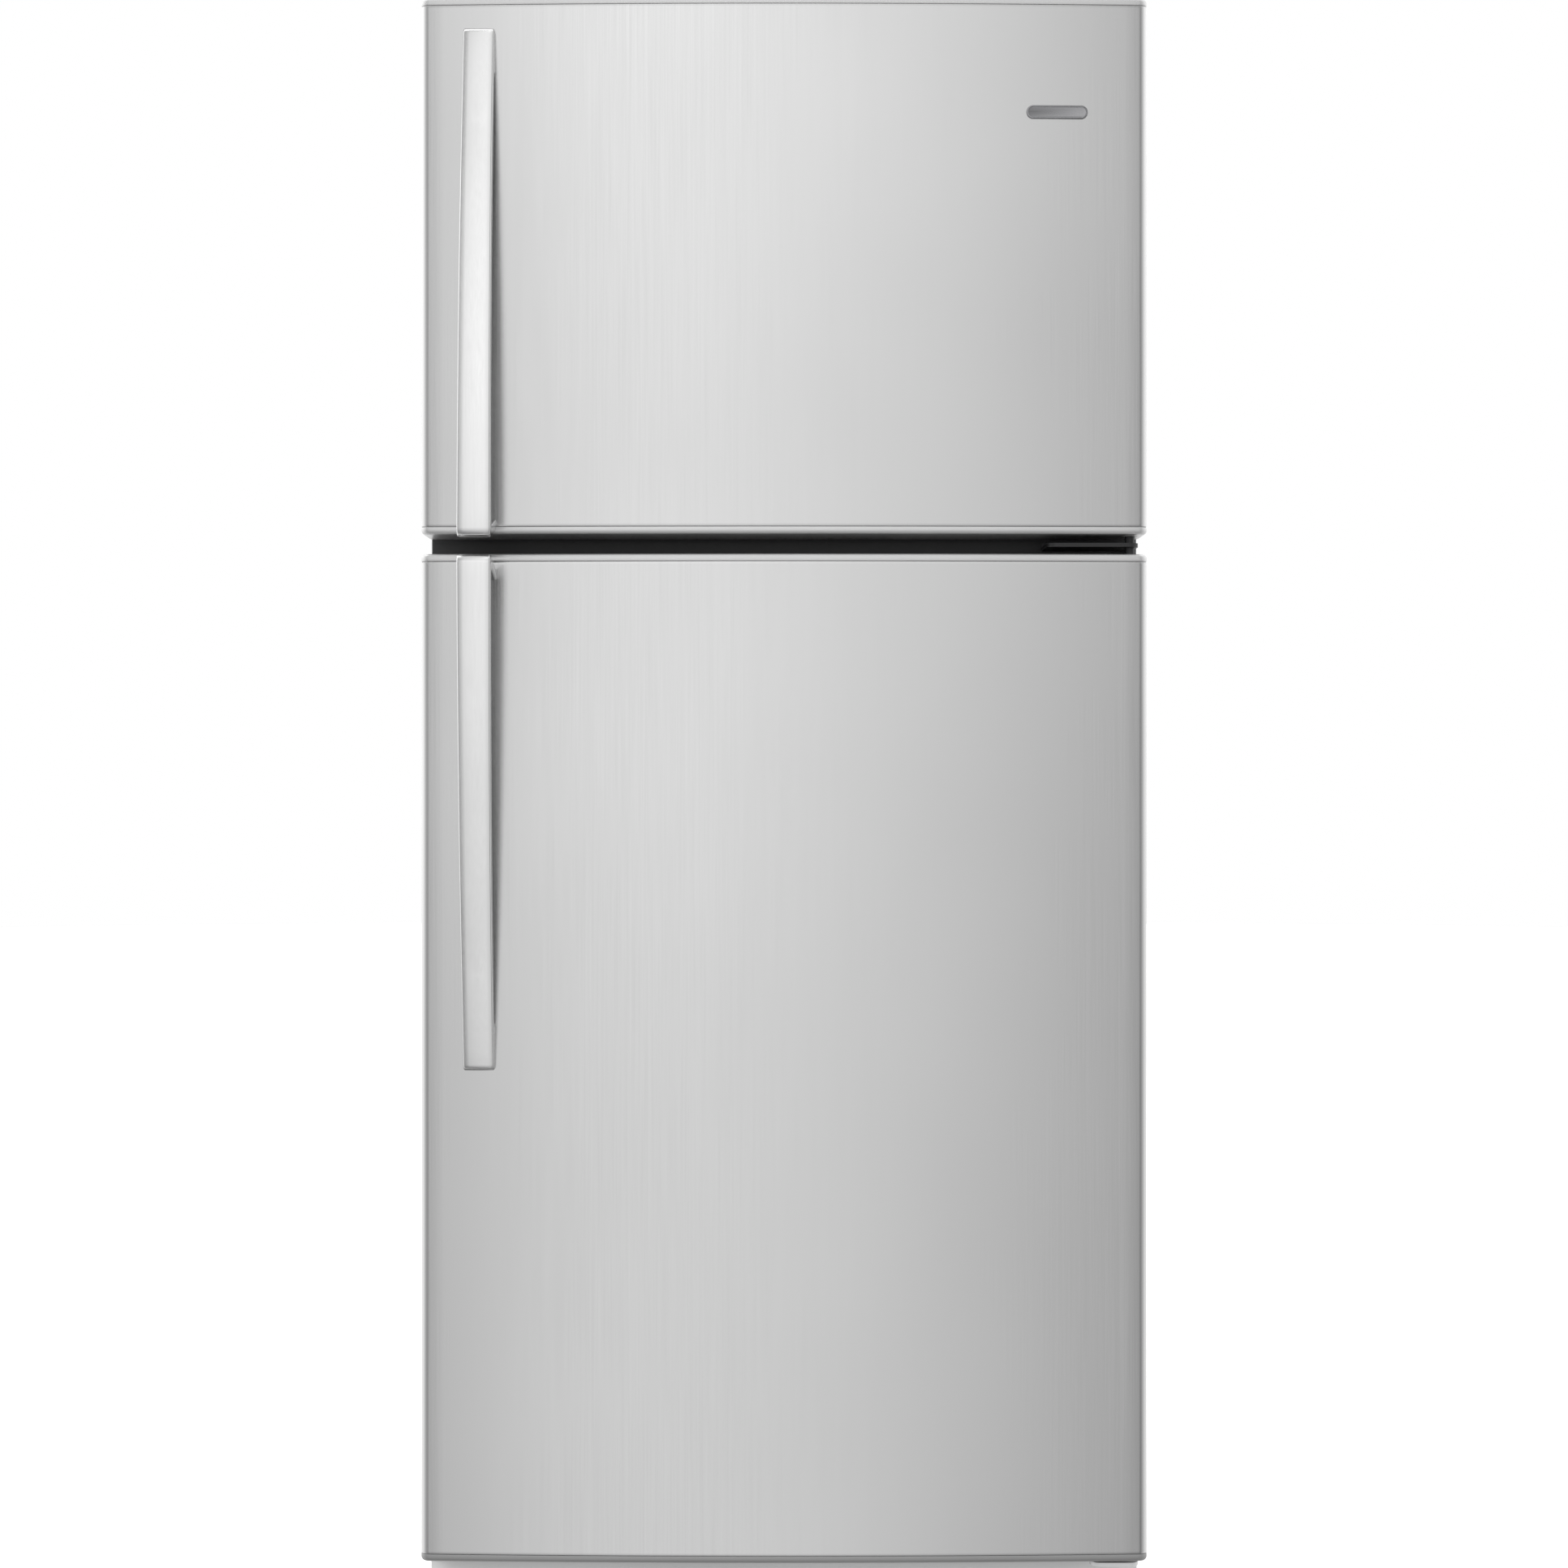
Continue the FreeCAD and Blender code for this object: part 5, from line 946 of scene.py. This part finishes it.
# ---------- fans, wheels, feet
def fan(name, node, joint, blades, hub):
    """Moulded fan with curved, twisted blades on a domed hub."""
    low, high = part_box(node)
    axis = Vector(JOINTS[joint]["axis"])
    index = [abs(round(a)) for a in axis].index(1)
    width = high[index] - low[index]
    centre = Vector(JOINTS[joint]["pos_m"])
    centre[index] = (low[index] + high[index]) / 2
    radius = max(high - low) / 2 * 0.985
    turn = turned_frame(axis)
    bm = bmesh.new()
    bore = 2.1 * MM
    add_lathe(bm, [(bore, -width * 0.48), (hub * 0.96, -width * 0.48), (hub, -width * 0.42), (hub, width * 0.3),
                   (hub * 0.9, width * 0.42), (hub * 0.6, width * 0.48), (bore, width * 0.49)], centre, axis, 36)
    for blade in range(blades):
        start = 2 * math.pi * blade / blades
        rows = []
        for step in range(9):
            share = step / 8
            r = hub * 0.9 + (radius - hub * 0.9) * share
            sweep = math.radians(52 - 10 * share) * (1 + 0.15 * share)
            lift = width * (0.40 - 0.10 * share)
            row_top, row_low = [], []
            for k in range(9):
                t = k / 8 - 0.5
                angle = start + sweep * t + 0.25 * share * share
                camber = (0.25 - t * t) * width * 0.28
                tip_round = 1 - 0.06 * (2 * t) ** 4 * share
                height = 2 * lift * t + camber
                p = Vector((r * tip_round * math.cos(angle), r * tip_round * math.sin(angle), height))
                thick = Vector((0, 0, 0.55 * MM * (1 - 0.5 * abs(2 * t) ** 3)))
                row_top.append(centre + turn @ (p + thick))
                row_low.append(centre + turn @ (p - thick))
            rows.append(row_top + list(reversed(row_low)))
        add_loft(bm, rows)
    piece = finish_mesh(name, bm, node, "fan_plastic", 50.0)
    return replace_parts(piece, node)


def make_wheels_and_feet():
    """Rear rollers with a hub and tread, and the front leveling legs."""
    for side in ("left", "right"):
        body = "rear_roller_" + side
        low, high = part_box(body)
        mid = (low + high) / 2
        half = (high.x - low.x) / 2
        radius = (high.z - low.z) / 2
        flank = in_metres([(2.6, 0), (6, 0), (6.2, 2)])
        tread = in_metres([(3, 2), (2.6, 0), (1, 0), (0, 1)])
        flank += [(radius - inset, across) for inset, across in tread]
        profile = [(r, across - half) for r, across in flank]
        profile += [(r, half - across) for r, across in reversed(flank)]
        bm = bmesh.new()
        add_lathe(bm, profile, mid, (1, 0, 0), 48)
        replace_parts(finish_mesh(body + "_wheel", bm, body, "roller_plastic"), body)
        body = "leveling_leg_" + side
        low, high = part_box(body)
        mid = (low + high) / 2
        tall = high.z - low.z
        foot = (high.x - low.x) / 2
        pad = [(foot - inset, up) for inset, up in in_metres([(4, 0), (0.6, 0.5), (0, 2), (1.5, 6.5), (4, 8)])]
        thread = in_metres([(4.2, 8.5)])
        z = 10 * MM
        while z < tall - 2 * MM:
            thread += [(4.9 * MM, z), (4.3 * MM, z + 0.6 * MM)]
            z += 1.25 * MM
        thread.append((3.6 * MM, tall))
        bm = bmesh.new()
        add_lathe(bm, pad + in_metres([(7, 8.4), (6, 9)]), (mid.x, mid.y, low.z), (0, 0, 1), 36)
        add_lathe(bm, thread, (mid.x, mid.y, low.z), (0, 0, 1), 24)
        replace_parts(finish_mesh(body + "_foot", bm, body, "foot_plastic"), body)


# ---------- outside details
def make_hinge_cover():
    """Moulded cover over the top hinge, with a soft rim."""
    low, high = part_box("top_hinge_cover")
    door_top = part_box("freezer_door_end_caps")[1].z
    case_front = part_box("mullion_rail")[0].y
    levels = [(0.0, door_top + 1.6 * MM)]
    levels += [(inset, high.z - down) for inset, down in in_metres(
        [(0.0, 4), (0.4, 2.2), (1.4, 0.8), (3.0, 0.1), (5.0, 0)])]
    bm = bmesh.new()
    add_loft(bm, [level_loop(low.x, high.x, low.y, high.y, inset, 7 * MM - inset * 0.5, z)
                  for inset, z in levels])
    add_block(bm, (low.x, case_front + 1 * MM, low.z + 0.1 * MM), (high.x, high.y, door_top + 3 * MM),
              1.2 * MM, 2)
    piece = finish_mesh("hinge_cap", bm, "cabinet", "cap_grey")
    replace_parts(piece, "top_hinge_cover")


# Profile of a pan-head screw with a washer face and a cross recess, in millimetres.
SCREW_PROFILE = [(5, 0), (5, 0.5), (4.2, 0.9), (3.9, 1.5), (3, 2.1), (1.5, 2.3), (1.3, 1.4), (0.2, 1.3)]


def screw_heads(name, places):
    """Screws whose heads stand on a rear face of the cabinet."""
    bm = bmesh.new()
    for place in places:
        add_lathe(bm, in_metres(SCREW_PROFILE), place, (0, 1, 0), 24)
    finish_mesh(name, bm, "cabinet", "motor_metal")


def make_mullion_shade_trim():
    """Black trim strip across the front between the two doors' gaskets, and painted shade: it blacks out the
    cabinet flange deep in the door gap.
    """
    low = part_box("mullion_rail")[0]
    door_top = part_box("fridge_door_end_caps")[1].z
    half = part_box("outer_wrapper")[1].x - 0.6 * MM
    blocks("mullion_trim", [((-half, low.y - 2 * MM, door_top - 6 * MM), (half, low.y, door_top + 26 * MM))],
           0.7 * MM, "cabinet", "black_plastic")


def make_rear_details():
    """Screws and pressed ribs of the rear sheet, and the copper pipes behind the cover."""
    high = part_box("rear_panel")[1]
    cover_low, cover_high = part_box("machine_cover")
    screw_heads("rear_cover_screws", [
        (x, cover_high.y, z) for x in spaced(cover_low.x + 12 * MM, cover_high.x - 12 * MM, 5)
        for z in (cover_high.z - 8 * MM, cover_low.z + 8 * MM)])
    for name, side in (("left", -1), ("right", 1)):
        screw_heads("rear_sheet_screws_" + name, [
            (side * (high.x - 9 * MM), high.y, z)
            for z in spaced(cover_high.z + 40 * MM, high.z - 40 * MM, 7)])
    rib_half, rib_short = 9 * MM, 90 * MM
    blocks("rear_sheet_ribs", [
        ((x - rib_half, high.y - 0.5 * MM, cover_high.z + rib_short),
         (x + rib_half, high.y + 1.4 * MM, high.z - rib_short))
        for x in (-0.2, 0.2)], 1.3 * MM, "cabinet", "zinc_sheet")
    comp_low, comp_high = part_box("compressor")
    coil_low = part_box("condenser_coil")[0]
    shell = Vector((comp_low.x + 80 * MM, (comp_low.y + comp_high.y) / 2, comp_low.z + 120 * MM))

    def near_shell(*offsets):
        return [shell + Vector(offset) for offset in in_metres(offsets)]

    pipe("suction_pipe", near_shell((-40, 60, -10), (-52, 96, -5), (-52, 100, 90), (40, 100, 112),
                                    (60, -100, 118)), 3.5 * MM, "cabinet", "copper_pipe")
    pipe("discharge_pipe", near_shell((40, -62, -20), (60, -92, -15), (190, -92, -10))
         + [(coil_low.x + 4 * MM, coil_low.y + 4 * MM, 62 * MM)], 2.6 * MM, "cabinet", "copper_pipe")
    lathe("filter_drier", in_metres([(2.6, -52), (6, -46), (9.5, -36), (9.5, 36), (6, 46), (2.6, 52)]),
          near_shell((130, 92, 70))[0], (0.9, 0, 0.43), "cabinet", "copper_pipe")


# ---------- stage
CAMERA_DISTANCE = 2.9                  # from the front of the doors
VIEW_WIDTH_SHARE = 2.1622832           # width of the view over the width of the doors


def make_camera():
    """Camera straight in front, with the top of the doors at the top of the view."""
    data = bpy.data.cameras.new("camera")
    camera = bpy.data.objects.new("camera", data)
    bpy.context.scene.collection.objects.link(camera)
    plane_y = Y_DOOR_EDGE + DOOR_CORNER
    view = 2 * HALF * VIEW_WIDTH_SHARE
    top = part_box("freezer_door_end_caps")[1].z
    camera.location = (0.0, plane_y - CAMERA_DISTANCE, top - view / 2)
    camera.rotation_euler = (math.pi / 2, 0, 0)
    data.sensor_width = 36.0
    data.lens = data.sensor_width * CAMERA_DISTANCE / view
    data.clip_end = 60.0
    bpy.context.scene.camera = camera


def make_floor():
    """Pale studio floor."""
    bm = bmesh.new()
    bmesh.ops.create_circle(bm, cap_ends=True, radius=14.0, segments=96)
    mesh = bpy.data.meshes.new("studio_floor")
    bm.to_mesh(mesh)
    bm.free()
    floor = bpy.data.objects.new("studio_floor", mesh)
    bpy.context.scene.collection.objects.link(floor)
    paint = bpy.data.materials.new("floor_paint")
    paint.use_nodes = True
    shader = paint.node_tree.nodes["Principled BSDF"]
    set_inputs(shader, Base_Color=(0.86, 0.86, 0.86, 1), Roughness=0.7,
               Emission_Color=(1, 1, 1, 1), Emission_Strength=0.35)
    mesh.materials.append(paint)
    floor.visible_glossy = False       # the steel reflects the room instead
    floor.visible_diffuse = False


def area_light(name, place, target, size, power):
    """Soft rectangular light aimed at a point."""
    data = bpy.data.lights.new(name, "AREA")
    data.shape = "RECTANGLE"
    data.size, data.size_y = size
    data.energy = power
    light = bpy.data.objects.new(name, data)
    light.location = place
    aim = Vector(target) - Vector(place)
    light.rotation_euler = aim.to_track_quat("-Z", "Y").to_euler()
    light.visible_glossy = False       # the world's soft lights are what the steel reflects
    bpy.context.scene.collection.objects.link(light)


# What the steel reflects. Around the room: degrees from the front towards +X, and brightness. The front is
# brightest a little to the left, dark flags stand to each side, and the room behind is white.
ROUND_THE_ROOM = [
    (-180, 1.50), (-130, 1.75), (-100, 1.75), (-70, 1.25), (-50, 0.78), (-38, 0.64), (-26, 0.53), (-15, 0.66),
    (-11, 1.17), (-6, 1.76), (-1, 1.43), (4, 1.24), (8, 1.07), (12, 0.76), (18, 0.46), (30, 0.40), (42, 0.62),
    (58, 0.85), (75, 1.15), (100, 1.50), (180, 1.50),
]
# From straight down to straight up: degrees of elevation, and brightness.
FLOOR_TO_CEILING = [
    (-90, 0.35), (-40, 0.55), (-16, 0.70), (-9, 0.725), (-6, 0.765), (-2, 0.80), (2, 0.845), (6, 0.85), (11, 0.88),
    (17, 0.97), (28, 0.88), (45, 0.88), (65, 1.10), (90, 1.30),
]
BRIGHTEST = 1.8


def add_ramp(nodes, angle, limit, stops):
    """Brightness as a smooth function of an angle in radians. stops and limit are in degrees."""
    share = nodes.node("ShaderNodeMapRange")
    set_inputs(share, From_Min=-math.radians(limit), From_Max=math.radians(limit))
    nodes.link(angle, share.inputs["Value"])
    ramp = nodes.node("ShaderNodeValToRGB")
    ramp.color_ramp.interpolation = "CARDINAL"
    elements = ramp.color_ramp.elements
    for degrees, level in stops:
        if degrees == -limit:
            element = elements[0]
        elif degrees == limit:
            element = elements[len(elements) - 1]
        else:
            element = elements.new((degrees + limit) / (2 * limit))
        level = level / BRIGHTEST
        element.color = (level, level, level, 1)
    nodes.link(share.outputs["Result"], ramp.inputs["Fac"])
    return ramp.outputs["Color"]


def make_world():
    """White studio for the camera; a shaded room for everything else."""
    world = bpy.data.worlds.new("studio")
    bpy.context.scene.world = world
    world.use_nodes = True
    world.node_tree.nodes.clear()
    nodes = Nodes(world.node_tree)

    def math_node(operation, *values):
        made = nodes.node("ShaderNodeMath", operation=operation)
        for value, socket in zip(values, made.inputs):
            if isinstance(value, float):
                socket.default_value = value
            else:
                nodes.link(value, socket)
        return made.outputs[0]

    split = nodes.node("ShaderNodeSeparateXYZ")
    nodes.link(nodes.node("ShaderNodeTexCoord").outputs["Generated"], split.inputs[0])
    azimuth = math_node("ARCTAN2", split.outputs["X"], math_node("MULTIPLY", split.outputs["Y"], -1.0))
    elevation = math_node("ARCSINE", split.outputs["Z"])
    around = add_ramp(nodes, azimuth, 180, ROUND_THE_ROOM)
    upright = add_ramp(nodes, elevation, 90, FLOOR_TO_CEILING)
    glow = nodes.node("ShaderNodeBackground")
    nodes.link(math_node("MULTIPLY", around, upright), glow.inputs["Color"])
    set_inputs(glow, Strength=BRIGHTEST ** 2)
    white = nodes.node("ShaderNodeBackground")
    set_inputs(white, Color=(1, 1, 1, 1))
    mix = nodes.node("ShaderNodeMixShader")
    out = nodes.node("ShaderNodeOutputWorld")
    nodes.link(nodes.node("ShaderNodeLightPath").outputs["Is Camera Ray"], mix.inputs["Fac"])
    nodes.link(glow.outputs[0], mix.inputs[1])
    nodes.link(white.outputs[0], mix.inputs[2])
    nodes.link(mix.outputs[0], out.inputs["Surface"])


def make_stage():
    """Camera, floor and lights."""
    make_camera()
    make_floor()
    make_world()
    middle = (0, -0.1, 0.9)
    area_light("key", (-2.6, -3.4, 3.2), middle, (2.4, 2.4), 70.0)
    area_light("fill", (2.6, -3.0, 2.0), middle, (1.6, 2.4), 18.0)
    area_light("front", (-0.3, -4.2, 1.5), middle, (1.6, 1.2), 20.0)
    area_light("back", (0.0, 3.4, 3.2), (0, 0.4, 0.6), (4.0, 2.0), 90.0)
    settings = bpy.context.scene.view_settings
    settings.view_transform = "Standard"
    settings.look = "None"


make_materials()
make_stage()
dress_cad_nodes()
make_doors()
make_dairy_box()
make_nameplate()
make_cabinet_inside()
make_crispers()
make_knobs()
scale_marks()
fan("condenser_blades", "condenser_fan", "condenser_fan_spin", 5, 16 * MM)
fan("evaporator_blades", "evaporator_fan", "evaporator_fan_spin", 5, 13 * MM)
make_wheels_and_feet()
make_hinge_cover()
make_rear_details()
make_mullion_shade_trim()
